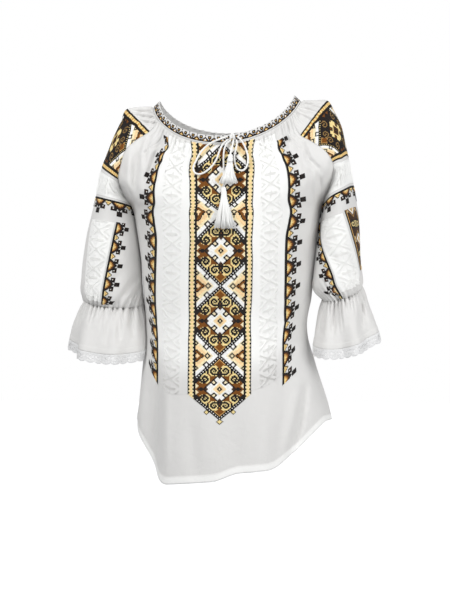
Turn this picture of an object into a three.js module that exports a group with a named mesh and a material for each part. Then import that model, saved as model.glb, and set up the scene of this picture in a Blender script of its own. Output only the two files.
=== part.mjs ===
// An embroidered peasant blouse with raglan sleeves, filled out as if worn.
// Millimetres, +Z up. The front faces -Y, and +X is on the right of someone who faces it.
// The origin is in the middle of the neck opening, at the height of the shoulders.
//
// Every cloth piece is a patch: a grid of points on the outer face, row by row from the neck
// down, given a wall on its inner side. Neighbouring patches share the points of their seam
// and the direction of the wall there, and each stands back from the seam by half a gap.

import * as THREE from "three";

// ---- Driving dimensions ----

const CLOTH = 1.2; // wall of the cotton
const BAND = 1.6; // wall of the neckband, which is doubled
const SEAM_GAP = 0.36; // room between two sewn pieces
const BAND_GAP = 0.5; // room between the pleated cloth and the neckband
const CORD_DIAMETER = 3;

// The ring on which the gathered cloth meets the neckband
const NECK = {
  halfWidth: 129.5,
  front: 95,
  back: 80,
  sideZ: -3,
  frontDrop: 78.5,
  backDrop: 56,
  softness: 0.1, // rounds the crest of the ring at the shoulders
  bow: 1.15, // above 1, the ring dips less at the sides than a plain curve would
  tilt: 0.027, // the right shoulder lies a little higher
  seamAngle: 64, // degrees from the middle of the front to the sleeve seam
  backSeamAngle: 66,
};

// The neckband leans inwards: upright in front, more level over the shoulders
const NECKBAND = { width: 15.5, frontLean: 14, sideLean: 48, backLean: 20, columns: 48 };

// Rows of the left sleeve, from the neck to the gathered elbow. The ridge is the outer edge
// of the sleeve, and the seam is where its front half ends: the raglan seam in the upper
// rows, and the underarm seam where turn is 180. depth is half the sleeve from front to
// back, turn is how many degrees the half turns, and dip is how far its front hangs lower.
const LEFT_SLEEVE = [
  { ridgeX: -130, ridgeZ: -6, seamX: -113, seamZ: -36, centreY: 0, depth: 92, turn: 26, dip: 0 },
  { ridgeX: -153, ridgeZ: -6, seamX: -121, seamZ: -46, centreY: 0, depth: 55, turn: 60, dip: 0 },
  { ridgeX: -176, ridgeZ: -9, seamX: -129, seamZ: -54, centreY: 0, depth: 58, turn: 65, dip: 0 },
  { ridgeX: -187, ridgeZ: -32, seamX: -150, seamZ: -68, centreY: 0, depth: 61, turn: 70, dip: 0 },
  { ridgeX: -198, ridgeZ: -55, seamX: -168, seamZ: -85, centreY: -1, depth: 62, turn: 78, dip: 0 },
  { ridgeX: -209, ridgeZ: -82, seamX: -177, seamZ: -110, centreY: -2, depth: 61, turn: 93, dip: 0 },
  { ridgeX: -220, ridgeZ: -111, seamX: -183, seamZ: -137, centreY: -3, depth: 60, turn: 114, dip: 0 },
  { ridgeX: -226, ridgeZ: -138, seamX: -178, seamZ: -162, centreY: -4, depth: 59, turn: 146, dip: 0 },
  { ridgeX: -231, ridgeZ: -165, seamX: -165, seamZ: -180, centreY: -5, depth: 58, turn: 180, dip: 0 },
  { ridgeX: -238, ridgeZ: -193, seamX: -166, seamZ: -207, centreY: -5, depth: 57, turn: 180, dip: 0 },
  { ridgeX: -246, ridgeZ: -225, seamX: -162, seamZ: -236, centreY: -6, depth: 56, turn: 180, dip: 0 },
  { ridgeX: -252, ridgeZ: -262, seamX: -157, seamZ: -270, centreY: -6, depth: 56, turn: 180, dip: 0 },
  { ridgeX: -256, ridgeZ: -298, seamX: -154, seamZ: -305, centreY: -7, depth: 55, turn: 180, dip: 2 },
  { ridgeX: -257, ridgeZ: -328, seamX: -152, seamZ: -336, centreY: -7, depth: 54, turn: 180, dip: 6 },
  { ridgeX: -252, ridgeZ: -345, seamX: -152, seamZ: -353, centreY: -7, depth: 49, turn: 180, dip: 10 },
];

const RIGHT_SLEEVE = [
  { ridgeX: 129.5, ridgeZ: 1, seamX: 113, seamZ: -33, centreY: 0, depth: 92, turn: 26, dip: 0 },
  { ridgeX: 152, ridgeZ: 2, seamX: 121, seamZ: -48, centreY: 0, depth: 55, turn: 60, dip: 0 },
  { ridgeX: 174, ridgeZ: 2, seamX: 130, seamZ: -62, centreY: 0, depth: 60, turn: 65, dip: 0 },
  { ridgeX: 188, ridgeZ: -19, seamX: 151, seamZ: -75, centreY: 0, depth: 63, turn: 72, dip: 0 },
  { ridgeX: 200, ridgeZ: -44, seamX: 171, seamZ: -89, centreY: -1, depth: 64, turn: 82, dip: 0 },
  { ridgeX: 207, ridgeZ: -70, seamX: 184, seamZ: -105, centreY: -2, depth: 64, turn: 96, dip: 0 },
  { ridgeX: 212, ridgeZ: -95, seamX: 188, seamZ: -122, centreY: -3, depth: 62, turn: 114, dip: 0 },
  { ridgeX: 216, ridgeZ: -122, seamX: 182, seamZ: -150, centreY: -4, depth: 61, turn: 146, dip: 0 },
  { ridgeX: 221, ridgeZ: -150, seamX: 168, seamZ: -178, centreY: -5, depth: 60, turn: 180, dip: 0 },
  { ridgeX: 226, ridgeZ: -178, seamX: 169, seamZ: -204, centreY: -5, depth: 60, turn: 180, dip: 0 },
  { ridgeX: 230, ridgeZ: -208, seamX: 165, seamZ: -232, centreY: -6, depth: 59, turn: 180, dip: 0 },
  { ridgeX: 232, ridgeZ: -241, seamX: 160, seamZ: -263, centreY: -6, depth: 59, turn: 180, dip: 0 },
  { ridgeX: 233, ridgeZ: -272, seamX: 157, seamZ: -293, centreY: -7, depth: 58, turn: 180, dip: 2 },
  { ridgeX: 235, ridgeZ: -300, seamX: 155, seamZ: -323, centreY: -7, depth: 57, turn: 180, dip: 8 },
  { ridgeX: 236, ridgeZ: -322, seamX: 166, seamZ: -342, centreY: -7, depth: 51, turn: 180, dip: 14 },
];

const UNDERARM_ROW = LEFT_SLEEVE.findIndex((row) => row.turn === 180);
const BACK_LIFT = 7; // the back raglan seam runs this much higher, midway down
const BACK_DEPTH = 0.93; // depth of a sleeve's back half to that of its front half

// Middle of the front and of the back at each raglan row, and how far half a row turns
const FRONT_YOKE = [
  { y: -95, z: -83, turn: 64 },
  { y: -98, z: -93, turn: 60 },
  { y: -101, z: -105, turn: 57 },
  { y: -104, z: -120, turn: 54 },
  { y: -107, z: -137, turn: 52 },
  { y: -110, z: -155, turn: 52 },
  { y: -112.5, z: -172, turn: 58 },
  { y: -115, z: -187, turn: 70 },
  { y: -117, z: -200, turn: 90 },
];
const BACK_YOKE = [
  { y: 80, z: -59, turn: 66 },
  { y: 84, z: -72, turn: 62 },
  { y: 88, z: -87, turn: 58 },
  { y: 92, z: -104, turn: 55 },
  { y: 95, z: -122, turn: 53 },
  { y: 97, z: -141, turn: 53 },
  { y: 98, z: -160, turn: 58 },
  { y: 98, z: -178, turn: 70 },
  { y: 97, z: -195, turn: 90 },
];

// Torso below the arms, by height: its two sides, and its front and back faces
const TORSO = [
  { z: -178, left: -165, right: 168, front: -117, back: 97 },
  { z: -203, left: -160, right: 163, front: -117, back: 97 },
  { z: -257, left: -153, right: 155, front: -116, back: 94 },
  { z: -310, left: -149, right: 150, front: -110, back: 88 },
  { z: -353, left: -146, right: 145, front: -104, back: 82 },
  { z: -376, left: -143, right: 140, front: -102, back: 81 },
  { z: -410, left: -142, right: 142, front: -104, back: 85 },
  { z: -436, left: -144, right: 149, front: -108, back: 92 },
  { z: -481, left: -149, right: 163, front: -115, back: 102 },
  { z: -546, left: -157, right: 181, front: -123, back: 112 },
  { z: -600, left: -160, right: 186, front: -128, back: 117 },
  { z: -660, left: -162, right: 190, front: -131, back: 120 },
];
const SIDE_Y = 0; // the side seams lie midway between front and back

// Heights of the torso rows, as shares of the way from the underarm to the hem
const TORSO_ROWS = [0.09, 0.2, 0.32, 0.44, 0.55, 0.66, 0.78, 0.9, 1];

// The curved shirt-tail hem: level in the middle, and swept up to the side seams
const HEM = {
  frontZ: -647,
  backZ: -652,
  leftZ: -553,
  rightZ: -551,
  leftSweep: { from: 0.36, to: 0.84 }, // shares of the half width where the hem rises
  rightSweep: { from: 0.18, to: 0.8 },
  leftSag: 22, // the left half hangs lower, and the right half as much higher
};

// Large soft folds of the torso. at is the place across a panel, -1 at the left seam and 1
// at the right one, drift moves it by the hem, width is half the fold's width in the same
// measure, depth is how far it stands out at the hem, and it fades out at the height topZ.
const FRONT_FOLDS = [
  { at: -0.78, drift: 0.08, width: 0.12, depth: 5, topZ: -420 },
  { at: -0.56, drift: 0.02, width: 0.1, depth: -7, topZ: -380 },
  { at: -0.3, drift: -0.04, width: 0.16, depth: 4, topZ: -430 },
  { at: 0.02, drift: 0.06, width: 0.16, depth: -4, topZ: -480 },
  { at: 0.3, drift: -0.02, width: 0.14, depth: 4, topZ: -430 },
  { at: 0.52, drift: -0.12, width: 0.1, depth: -9, topZ: -370 },
  { at: 0.76, drift: -0.02, width: 0.13, depth: 5, topZ: -420 },
];
const BACK_FOLDS = [
  { at: -0.7, drift: 0.06, width: 0.13, depth: -7, topZ: -400 },
  { at: -0.4, drift: -0.03, width: 0.14, depth: 5, topZ: -360 },
  { at: -0.08, drift: 0.02, width: 0.14, depth: -6, topZ: -330 },
  { at: 0.26, drift: 0.04, width: 0.14, depth: 5, topZ: -380 },
  { at: 0.6, drift: -0.04, width: 0.13, depth: -7, topZ: -410 },
];

// Height of the pleats on the first rows below the neckband, row by row
const NECK_PLEATS = [0.8, 1.9, 1.6, 0.9];
const ELBOW_PLEATS = { rows: 3, height: 1.5 };

// Each ruffle falls from the elbow: rows of its outer and inner edge, half depth and dip
const LEFT_RUFFLE = [
  { ridgeX: -252, ridgeZ: -345.7, seamX: -152, seamZ: -353.7, centreY: -7, depth: 49, dip: 10 },
  { ridgeX: -262, ridgeZ: -367, seamX: -150, seamZ: -377, centreY: -8, depth: 56, dip: 13 },
  { ridgeX: -270, ridgeZ: -390, seamX: -149, seamZ: -401, centreY: -9, depth: 61, dip: 17 },
  { ridgeX: -273, ridgeZ: -411, seamX: -148, seamZ: -424, centreY: -10, depth: 65, dip: 20 },
];
const RIGHT_RUFFLE = [
  { ridgeX: 236, ridgeZ: -322.7, seamX: 166, seamZ: -342.7, centreY: -7, depth: 51, dip: 14 },
  { ridgeX: 246, ridgeZ: -347, seamX: 161, seamZ: -366, centreY: -8, depth: 58, dip: 18 },
  { ridgeX: 254, ridgeZ: -371, seamX: 158, seamZ: -391, centreY: -9, depth: 64, dip: 21 },
  { ridgeX: 259, ridgeZ: -391, seamX: 157, seamZ: -413, centreY: -10, depth: 68, dip: 24 },
];
const LACE_DROP = 17;
const FLUTES = {
  depth: 8,
  innerDepth: 2,
  quick: { count: 7, share: 0.7 },
  slow: { count: 3, share: 0.4 },
  innerFrom: 0.6, // share of the way round where the flutes start to grow shallow
  innerTo: 0.9,
  innerFlare: 14, // one broad flute in front of the body
  innerFlareAt: 0.8,
  innerFlareWidth: 0.12,
  columns: 42,
};

const FRONT_COLUMNS = 34;
const BACK_COLUMNS = 24;
const SLEEVE_COLUMNS = 26;

// ---- Colours ----

const COTTON = { color: 0xf1f1f3, roughness: 0.85 };
const LACE_WHITE = { color: 0xf6f5f1, roughness: 0.8 };
const CORD_WHITE = { color: 0xfaf8f4, roughness: 0.75 };
const BAND_WHITE = { color: 0xeeeae2, roughness: 0.85 };

// ---- Small helpers ----

const mix = (a, b, share) => a + (b - a) * share;
const smooth = (share) => {
  const held = Math.min(Math.max(share, 0), 1);
  return held * held * (3 - 2 * held);
};
const radians = (degrees) => (degrees * Math.PI) / 180;

// A column of a table at a height, smooth from row to row
function atHeight(table, column, z) {
  const last = table.length - 1;
  if (z >= table[0].z) return table[0][column];
  if (z <= table[last].z) return table[last][column];
  const below = table.findIndex((row) => row.z < z);
  const above = below - 1;
  const slope = (index) => {
    const before = table[Math.max(index - 1, 0)];
    const after = table[Math.min(index + 1, last)];
    return (after[column] - before[column]) / (after.z - before.z);
  };
  const span = table[below].z - table[above].z;
  const t = (z - table[above].z) / span;
  const start = table[above][column];
  const end = table[below][column];
  const leave = slope(above) * span;
  const arrive = slope(below) * span;
  const cubic = 2 * (start - end) + leave + arrive;
  const square = 3 * (end - start) - 2 * leave - arrive;
  return ((cubic * t + square) * t + leave) * t + start;
}

// ---- The forms that the cloth follows ----

// A point of the neck ring, by degrees from the middle of the front towards +X
function neckPoint(degrees) {
  const across = Math.sin(radians(degrees));
  const along = Math.cos(radians(degrees));
  const soft = NECK.softness;
  const fall = ((Math.hypot(along, soft) - soft) / (Math.hypot(1, soft) - soft)) ** NECK.bow;
  const drop = along > 0 ? NECK.frontDrop : NECK.backDrop;
  const x = NECK.halfWidth * across;
  const y = -(along > 0 ? NECK.front : NECK.back) * along;
  return new THREE.Vector3(x, y, NECK.sideZ - drop * fall + NECK.tilt * x);
}

// A point on one row of a sleeve or ruffle: around is -1 at the front seam, 0 on the outer
// ridge and 1 at the back seam
function ringPoint(row, around, lift = 0) {
  const angle = radians(Math.abs(around) * row.turn);
  const share = (1 - Math.cos(angle)) / (1 - Math.cos(radians(row.turn)));
  const depth = around < 0 ? -row.depth : row.depth * BACK_DEPTH;
  return new THREE.Vector3(
    mix(row.ridgeX, row.seamX, share),
    row.centreY + depth * Math.sin(angle),
    mix(row.ridgeZ, row.seamZ, share) + Math.sign(around) * row.dip * Math.sin(angle)
      + (around > 0 ? lift * share : 0),
  );
}

// How much of the neck ring's own shape a row still has
const neckShare = (row) => Math.max(1 - row / 2, 0) ** 2;

function sleevePoint(table, rowIndex, around) {
  const row = table[rowIndex];
  const openRow = rowIndex < UNDERARM_ROW;
  const lift = openRow ? BACK_LIFT * Math.sin((Math.PI * rowIndex) / UNDERARM_ROW) : 0;
  const point = ringPoint(row, around, lift);
  const share = neckShare(rowIndex);
  if (share === 0) return point;
  const side = Math.sign(row.ridgeX);
  const seam = around < 0 ? NECK.seamAngle : 180 - NECK.backSeamAngle;
  const ring = neckPoint(side * mix(90, seam, Math.abs(around)));
  const own = ringPoint(table[0], around);
  return point.add(ring.sub(own).multiplyScalar(share));
}

// A raglan row of the front or back, between the seams that it shares with the sleeves
function yokePoint(yoke, rowIndex, across) {
  const front = yoke === FRONT_YOKE;
  const sleeve = across < 0 ? LEFT_SLEEVE : RIGHT_SLEEVE;
  const seam = sleevePoint(sleeve, rowIndex, front ? -1 : 1);
  const middle = yoke[rowIndex];
  const angle = radians(Math.abs(across) * middle.turn);
  const share = (1 - Math.cos(angle)) / (1 - Math.cos(radians(middle.turn)));
  const point = new THREE.Vector3(
    (seam.x * Math.sin(angle)) / Math.sin(radians(middle.turn)),
    mix(middle.y, seam.y, share),
    mix(middle.z, seam.z, share),
  );
  if (rowIndex > 0) return point;
  const seamAngle = front ? NECK.seamAngle : NECK.backSeamAngle;
  return neckPoint(front ? across * seamAngle : 180 - across * seamAngle);
}

// Height of the hem at a place across the front or back
function hemHeight(front, across) {
  const sweep = across < 0 ? HEM.leftSweep : HEM.rightSweep;
  const rise = smooth((Math.abs(across) - sweep.from) / (sweep.to - sweep.from));
  const side = across < 0 ? HEM.leftZ : HEM.rightZ;
  const sag = HEM.leftSag * across * (1 - rise);
  return mix((front ? HEM.frontZ : HEM.backZ) + sag, side, rise);
}

// How far the folds push the cloth out at a place
function foldDepth(folds, across, z, hemZ) {
  let depth = 0;
  for (const fold of folds) {
    const grown = smooth((fold.topZ - z) / (fold.topZ - hemZ));
    const offset = (across - fold.at - fold.drift * grown) / fold.width;
    depth += fold.depth * grown * Math.exp(-offset * offset);
  }
  return depth;
}

// A torso point at a share of the way from the underarm to the hem
function torsoPoint(front, share, across) {
  const yoke = front ? FRONT_YOKE : BACK_YOKE;
  const start = yokePoint(yoke, UNDERARM_ROW, across);
  const hemZ = hemHeight(front, across);
  const z = mix(start.z, hemZ, share);
  const angle = radians(90 * across);
  const side = Math.abs(atHeight(TORSO, across < 0 ? "left" : "right", z));
  const face = atHeight(TORSO, front ? "front" : "back", z);
  const out = foldDepth(front ? FRONT_FOLDS : BACK_FOLDS, across, z, hemZ);
  return new THREE.Vector3(
    (side + out) * Math.sin(angle),
    SIDE_Y + (face - SIDE_Y + Math.sign(face) * out) * Math.cos(angle),
    z,
  );
}

// ---- Patches ----

// Fills a grid of points, rows by columns
function makePatch(rowCount, columns, pointAt) {
  const points = [];
  for (let row = 0; row < rowCount; row += 1) {
    const line = [];
    for (let column = 0; column <= columns; column += 1) line.push(pointAt(row, column / columns));
    points.push(line);
  }
  return { points, columns, closedFrom: Infinity };
}

// Outward directions of a patch. sense is 1 where rows downwards and columns onwards turn
// the right way round the outer face, and -1 otherwise.
function addNormals(patch, sense) {
  const { points, columns, closedFrom } = patch;
  const last = points.length - 1;
  patch.normals = points.map((line, row) => line.map((point, column) => {
    const closed = row >= closedFrom;
    const before = closed && column === 0 ? columns - 1 : Math.max(column - 1, 0);
    const after = closed && column === columns ? 1 : Math.min(column + 1, columns);
    const along = line[after].clone().sub(line[before]);
    const down = points[Math.min(row + 1, last)][column].clone();
    down.sub(points[Math.max(row - 1, 0)][column]);
    return down.cross(along).normalize().multiplyScalar(sense);
  }));
  return patch;
}

// Gives the points that several patches share one outward direction
function shareNormals(...places) {
  const sum = new THREE.Vector3();
  for (const { patch, row, column } of places) sum.add(patch.normals[row][column]);
  sum.normalize();
  for (const { patch, row, column } of places) patch.normals[row][column].copy(sum);
}

// Moves a point of a patch towards a neighbour in the same patch
function pullBack(patch, row, column, towardRow, towardColumn, distance) {
  const point = patch.points[row][column];
  const way = patch.points[towardRow][towardColumn].clone().sub(point).normalize();
  point.addScaledVector(way, distance);
}

// Pleats: columns stand in and out by turns, by a height given for each row
function addPleats(patch, heightAt) {
  patch.points.forEach((line, row) => {
    const height = heightAt(row);
    if (!height) return;
    line.forEach((point, column) => {
      const atSeam = row < patch.closedFrom && (column === 0 || column === patch.columns);
      if (atSeam) return;
      const swing = column % 2 === 0 ? 1 : -1;
      point.addScaledVector(patch.normals[row][column], swing * height);
    });
  });
}

// A closed solid: the patch as its outer face, and a wall on its inner side
function shell(patch, wall) {
  const { points, normals, columns, closedFrom } = patch;
  const positions = [];
  const outer = [];
  const inner = [];
  points.forEach((line, row) => {
    outer.push([]);
    inner.push([]);
    line.forEach((point, column) => {
      if (row >= closedFrom && column === columns) {
        outer[row].push(outer[row][0]);
        inner[row].push(inner[row][0]);
        return;
      }
      const behind = point.clone().addScaledVector(normals[row][column], -wall);
      outer[row].push(positions.length / 3);
      positions.push(point.x, point.y, point.z);
      inner[row].push(positions.length / 3);
      positions.push(behind.x, behind.y, behind.z);
    });
  });
  const faces = [];
  const quad = (a, b, c, d) => faces.push(a, b, c, a, c, d);
  const last = points.length - 1;
  for (let row = 0; row < last; row += 1) {
    for (let column = 0; column < columns; column += 1) {
      const next = column + 1;
      quad(outer[row][column], outer[row + 1][column], outer[row + 1][next], outer[row][next]);
      quad(inner[row][column], inner[row][next], inner[row + 1][next], inner[row + 1][column]);
    }
    if (row >= closedFrom) continue;
    quad(outer[row][0], inner[row][0], inner[row + 1][0], outer[row + 1][0]);
    quad(outer[row][columns], outer[row + 1][columns], inner[row + 1][columns], inner[row][columns]);
  }
  for (let column = 0; column < columns; column += 1) {
    const next = column + 1;
    quad(outer[0][column], outer[0][next], inner[0][next], inner[0][column]);
    quad(outer[last][column], inner[last][column], inner[last][next], outer[last][next]);
  }
  return closedGeometry(positions, faces);
}

// A geometry whose faces point out, whichever way round they were listed
function closedGeometry(positions, faces) {
  const corner = (index) => new THREE.Vector3().fromArray(positions, faces[index] * 3);
  let volume = 0;
  for (let face = 0; face < faces.length; face += 3) {
    volume += corner(face).dot(corner(face + 1).cross(corner(face + 2)));
  }
  if (volume < 0) faces.reverse();
  const geometry = new THREE.BufferGeometry();
  geometry.setAttribute("position", new THREE.Float32BufferAttribute(positions, 3));
  geometry.setIndex(faces);
  geometry.computeVertexNormals();
  return geometry;
}

// ---- Cloth pieces ----

function bodyPatch(front) {
  const yoke = front ? FRONT_YOKE : BACK_YOKE;
  const rowCount = UNDERARM_ROW + 1 + TORSO_ROWS.length;
  const columns = front ? FRONT_COLUMNS : BACK_COLUMNS;
  return makePatch(rowCount, columns, (row, share) => {
    const across = 2 * share - 1;
    if (row <= UNDERARM_ROW) return yokePoint(yoke, row, across);
    return torsoPoint(front, TORSO_ROWS[row - UNDERARM_ROW - 1], across);
  });
}

function sleevePatch(table) {
  const patch = makePatch(table.length, SLEEVE_COLUMNS, (row, share) => (
    sleevePoint(table, row, 2 * share - 1)));
  patch.closedFrom = UNDERARM_ROW;
  return patch;
}

// Front, back and sleeves, with their seams matched
function makeGarment() {
  const front = addNormals(bodyPatch(true), 1);
  const back = addNormals(bodyPatch(false), -1);
  const left = addNormals(sleevePatch(LEFT_SLEEVE), -1);
  const right = addNormals(sleevePatch(RIGHT_SLEEVE), 1);
  const sides = [
    { sleeve: left, frontColumn: 0, backColumn: 0 },
    { sleeve: right, frontColumn: FRONT_COLUMNS, backColumn: BACK_COLUMNS },
  ];
  for (const { sleeve, frontColumn, backColumn } of sides) {
    for (let row = 0; row < front.points.length; row += 1) {
      const frontPlace = { patch: front, row, column: frontColumn };
      const backPlace = { patch: back, row, column: backColumn };
      const seams = [
        { patch: sleeve, row, column: 0 },
        { patch: sleeve, row, column: SLEEVE_COLUMNS },
      ];
      if (row < UNDERARM_ROW) {
        shareNormals(frontPlace, seams[0]);
        shareNormals(backPlace, seams[1]);
      } else if (row === UNDERARM_ROW) {
        shareNormals(frontPlace, backPlace, ...seams);
      } else {
        shareNormals(frontPlace, backPlace);
      }
    }
    for (let row = UNDERARM_ROW + 1; row < sleeve.points.length; row += 1) {
      shareNormals({ patch: sleeve, row, column: 0 }, { patch: sleeve, row, column: SLEEVE_COLUMNS });
    }
  }
  const neckPleat = (row) => NECK_PLEATS[row] ?? 0;
  const elbowStart = LEFT_SLEEVE.length - ELBOW_PLEATS.rows;
  const sleevePleat = (row) => {
    if (row < NECK_PLEATS.length - 1) return neckPleat(row);
    return ELBOW_PLEATS.height * Math.max((row - elbowStart + 1) / ELBOW_PLEATS.rows, 0);
  };
  addPleats(front, neckPleat);
  addPleats(back, neckPleat);
  addPleats(left, sleevePleat);
  addPleats(right, sleevePleat);
  openSeams({ front, back, left, right });
  return { front, back, left, right };
}

// Stands every patch back from its seams by half the gap
function openSeams({ front, back, left, right }) {
  const half = SEAM_GAP / 2;
  for (const panel of [front, back]) {
    const last = panel.columns;
    for (let row = 0; row < panel.points.length; row += 1) {
      pullBack(panel, row, 0, row, 1, half);
      pullBack(panel, row, last, row, last - 1, half);
    }
  }
  for (const sleeve of [left, right]) {
    const last = sleeve.columns;
    for (let row = 0; row < UNDERARM_ROW; row += 1) {
      pullBack(sleeve, row, 0, row, 1, half);
      pullBack(sleeve, row, last, row, last - 1, half);
    }
    for (const column of [0, last]) {
      pullBack(sleeve, UNDERARM_ROW, column, UNDERARM_ROW, last / 2, SEAM_GAP);
    }
  }
}

// ---- Neckband ----

function neckbandPatch() {
  const { width, frontLean, sideLean, backLean, columns } = NECKBAND;
  const patch = makePatch(2, columns, (row, share) => {
    const degrees = 360 * share;
    const foot = neckPoint(degrees);
    const along = Math.cos(radians(degrees));
    const lean = radians(mix(sideLean, along > 0 ? frontLean : backLean, Math.abs(along)));
    const inward = new THREE.Vector3(-foot.x, -foot.y, 0).normalize();
    const way = inward.multiplyScalar(Math.sin(lean)).setZ(Math.cos(lean));
    return foot.addScaledVector(way, row === 0 ? width : BAND_GAP);
  });
  patch.closedFrom = 0;
  return addNormals(patch, 1);
}

// ---- Ruffled cuffs ----

// Outward swing of the flutes, shallow where the ruffle hangs beside the body
function fluteDepth(around, phase) {
  const angle = Math.PI * around;
  const { quick, slow, innerFrom, innerTo } = FLUTES;
  const inner = smooth((Math.abs(around) - innerFrom) / (innerTo - innerFrom));
  const depth = mix(FLUTES.depth, FLUTES.innerDepth, inner);
  const waves = quick.share * Math.cos(quick.count * angle + phase)
    + slow.share * Math.cos(slow.count * angle - 2 * phase);
  const besideBody = (around + FLUTES.innerFlareAt) / FLUTES.innerFlareWidth;
  return depth * waves + FLUTES.innerFlare * Math.exp(-besideBody * besideBody);
}

// A ruffle row: grown is 0 at the elbow and 1 at the hem of the cloth
function rufflePoint(row, grown, around, phase) {
  const point = ringPoint({ ...row, turn: 180 }, around);
  const middle = new THREE.Vector3((row.ridgeX + row.seamX) / 2, row.centreY, point.z);
  const outward = point.clone().sub(middle).normalize();
  return point.addScaledVector(outward, fluteDepth(around, phase) * grown);
}

function rufflePatch(table, phase, sense) {
  const patch = makePatch(table.length, FLUTES.columns, (row, share) => (
    rufflePoint(table[row], row / (table.length - 1), 2 * share - 1, phase)));
  patch.closedFrom = 0;
  return addNormals(patch, sense);
}

// The lace edging goes on from the hem of its ruffle
function lacePatch(table, phase, sense, ruffle) {
  const hem = table[table.length - 1];
  const before = table[table.length - 2];
  const slope = (hem.ridgeX - before.ridgeX) / (before.ridgeZ - hem.ridgeZ);
  const patch = makePatch(2, FLUTES.columns, (row, share) => {
    const down = row === 0 ? SEAM_GAP : LACE_DROP;
    const edge = { ...hem };
    edge.ridgeX += slope * down;
    edge.ridgeZ -= down;
    edge.seamZ -= down;
    return rufflePoint(edge, 1, 2 * share - 1, phase);
  });
  patch.closedFrom = 0;
  addNormals(patch, sense);
  patch.normals[0] = ruffle.normals[table.length - 1];
  return patch;
}

// ---- Drawstring ----

const KNOT = { x: 19.5, z: -70, halfWidth: 7, halfDepth: 3.2, halfHeight: 5 };
const CORD_CLEARANCE = 5; // from the cloth of the front to the middle of the cord

// The cords hang just off the slope of the front
function cordPoint({ x, z, out = 0 }) {
  const [neck, chest] = [FRONT_YOKE[0], FRONT_YOKE[UNDERARM_ROW]];
  const share = (z - neck.z) / (chest.z - neck.z);
  return new THREE.Vector3(x, mix(neck.y, chest.y, share) - CORD_CLEARANCE - out, z);
}

const LEFT_LOOP = [
  { x: 11.6, z: -69.6 },
  { x: 6, z: -71 },
  { x: -9, z: -76.5 },
  { x: -21.7, z: -83.1 },
  { x: -34.3, z: -96.6 },
  { x: -41.1, z: -110 },
  { x: -45.8, z: -121 },
  { x: -43.6, z: -130 },
  { x: -36, z: -133.4 },
  { x: -25.5, z: -129.6 },
  { x: -14.1, z: -119.5 },
  { x: -6.4, z: -107 },
  { x: -2, z: -93.7 },
  { x: 3.5, z: -82 },
  { x: 12.8, z: -74.2 },
];
const RIGHT_LOOP = [
  { x: 26, z: -75 },
  { x: 27.2, z: -80.5 },
  { x: 26.2, z: -88 },
  { x: 23.4, z: -101 },
  { x: 24.3, z: -115 },
  { x: 29.6, z: -125.4 },
  { x: 38.4, z: -127.4 },
  { x: 45, z: -119 },
  { x: 46, z: -104 },
  { x: 41.5, z: -89 },
  { x: 35.6, z: -78 },
  { x: 27.8, z: -69.3 },
];
const LONG_END = [
  { x: 16.8, z: -75.9 },
  { x: 9.5, z: -82 },
  { x: 5.6, z: -94 },
  { x: 5.1, z: -110 },
  { x: 5.8, z: -126 },
  { x: 6.3, z: -142 },
  { x: 6.4, z: -156 },
];
const SHORT_END = [
  { x: 21.3, z: -75.3, out: 0 },
  { x: 20.6, z: -81, out: 1.6 },
  { x: 19.4, z: -89, out: 5 },
  { x: 18, z: -96, out: 7.6 },
  { x: 17.6, z: -100.5, out: 8 },
];

// Each tassel has a bound head and a skirt of threads, flattened against the front
const TASSEL_PROFILE = [
  { radius: 0, drop: 0 },
  { radius: 3, drop: 0.6 },
  { radius: 4.2, drop: 3 },
  { radius: 3.6, drop: 8 },
  { radius: 4.6, drop: 12 },
  { radius: 6.6, drop: 24 },
];
const LONG_TASSEL = { x: 6.4, z: -156.4, length: 70, skirt: 21, lean: 3.5, out: 2 };
const SHORT_TASSEL = { x: 17.6, z: -101, length: 50, skirt: 17, lean: -3, out: 8 };
const TASSEL_FLATTEN = 0.34;
const TASSEL_SIDES = 16;
const CORD_SIDES = 8;

function cord(name, places, material) {
  const path = new THREE.CatmullRomCurve3(places.map(cordPoint), false, "centripetal");
  const section = new THREE.Shape();
  for (let side = 0; side < CORD_SIDES; side += 1) {
    const angle = (2 * Math.PI * side) / CORD_SIDES;
    const x = (CORD_DIAMETER / 2) * Math.cos(angle);
    const y = (CORD_DIAMETER / 2) * Math.sin(angle);
    if (side === 0) section.moveTo(x, y);
    else section.lineTo(x, y);
  }
  const steps = Math.ceil(path.getLength() / (2.4 * CORD_DIAMETER));
  const geometry = new THREE.ExtrudeGeometry(section, { steps, extrudePath: path, bevelEnabled: false });
  return mesh(name, geometry, material);
}

function knot(material) {
  const geometry = new THREE.SphereGeometry(1, 14, 9);
  geometry.scale(KNOT.halfWidth, KNOT.halfDepth, KNOT.halfHeight);
  const piece = mesh("bow_knot", geometry, material);
  piece.position.copy(cordPoint(KNOT));
  return piece;
}

// A lathe turns about Y, so a tassel is stood on Z before it is flattened and hung
function tassel(name, place, material) {
  const last = TASSEL_PROFILE[TASSEL_PROFILE.length - 1];
  const outline = TASSEL_PROFILE.map(({ radius, drop }) => new THREE.Vector2(radius, -drop));
  outline.push(new THREE.Vector2(mix(last.radius, place.skirt, 0.5), -mix(last.drop, place.length, 0.5)));
  outline.push(new THREE.Vector2(place.skirt, -place.length));
  outline.push(new THREE.Vector2(0, -place.length));
  const geometry = new THREE.LatheGeometry(outline.reverse(), TASSEL_SIDES);
  geometry.rotateX(Math.PI / 2);
  geometry.scale(1, TASSEL_FLATTEN, 1);
  const piece = mesh(name, geometry, material);
  piece.position.copy(cordPoint(place));
  const foot = cordPoint({ x: place.x + place.lean, z: place.z - place.length, out: place.out });
  const fall = foot.sub(piece.position).normalize();
  piece.quaternion.setFromUnitVectors(new THREE.Vector3(0, 0, -1), fall);
  return piece;
}

// ---- Assembly ----

function mesh(name, geometry, { color, roughness }) {
  const material = new THREE.MeshStandardMaterial({ color, roughness, metalness: 0 });
  const piece = new THREE.Mesh(geometry, material);
  piece.name = name;
  return piece;
}

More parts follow.
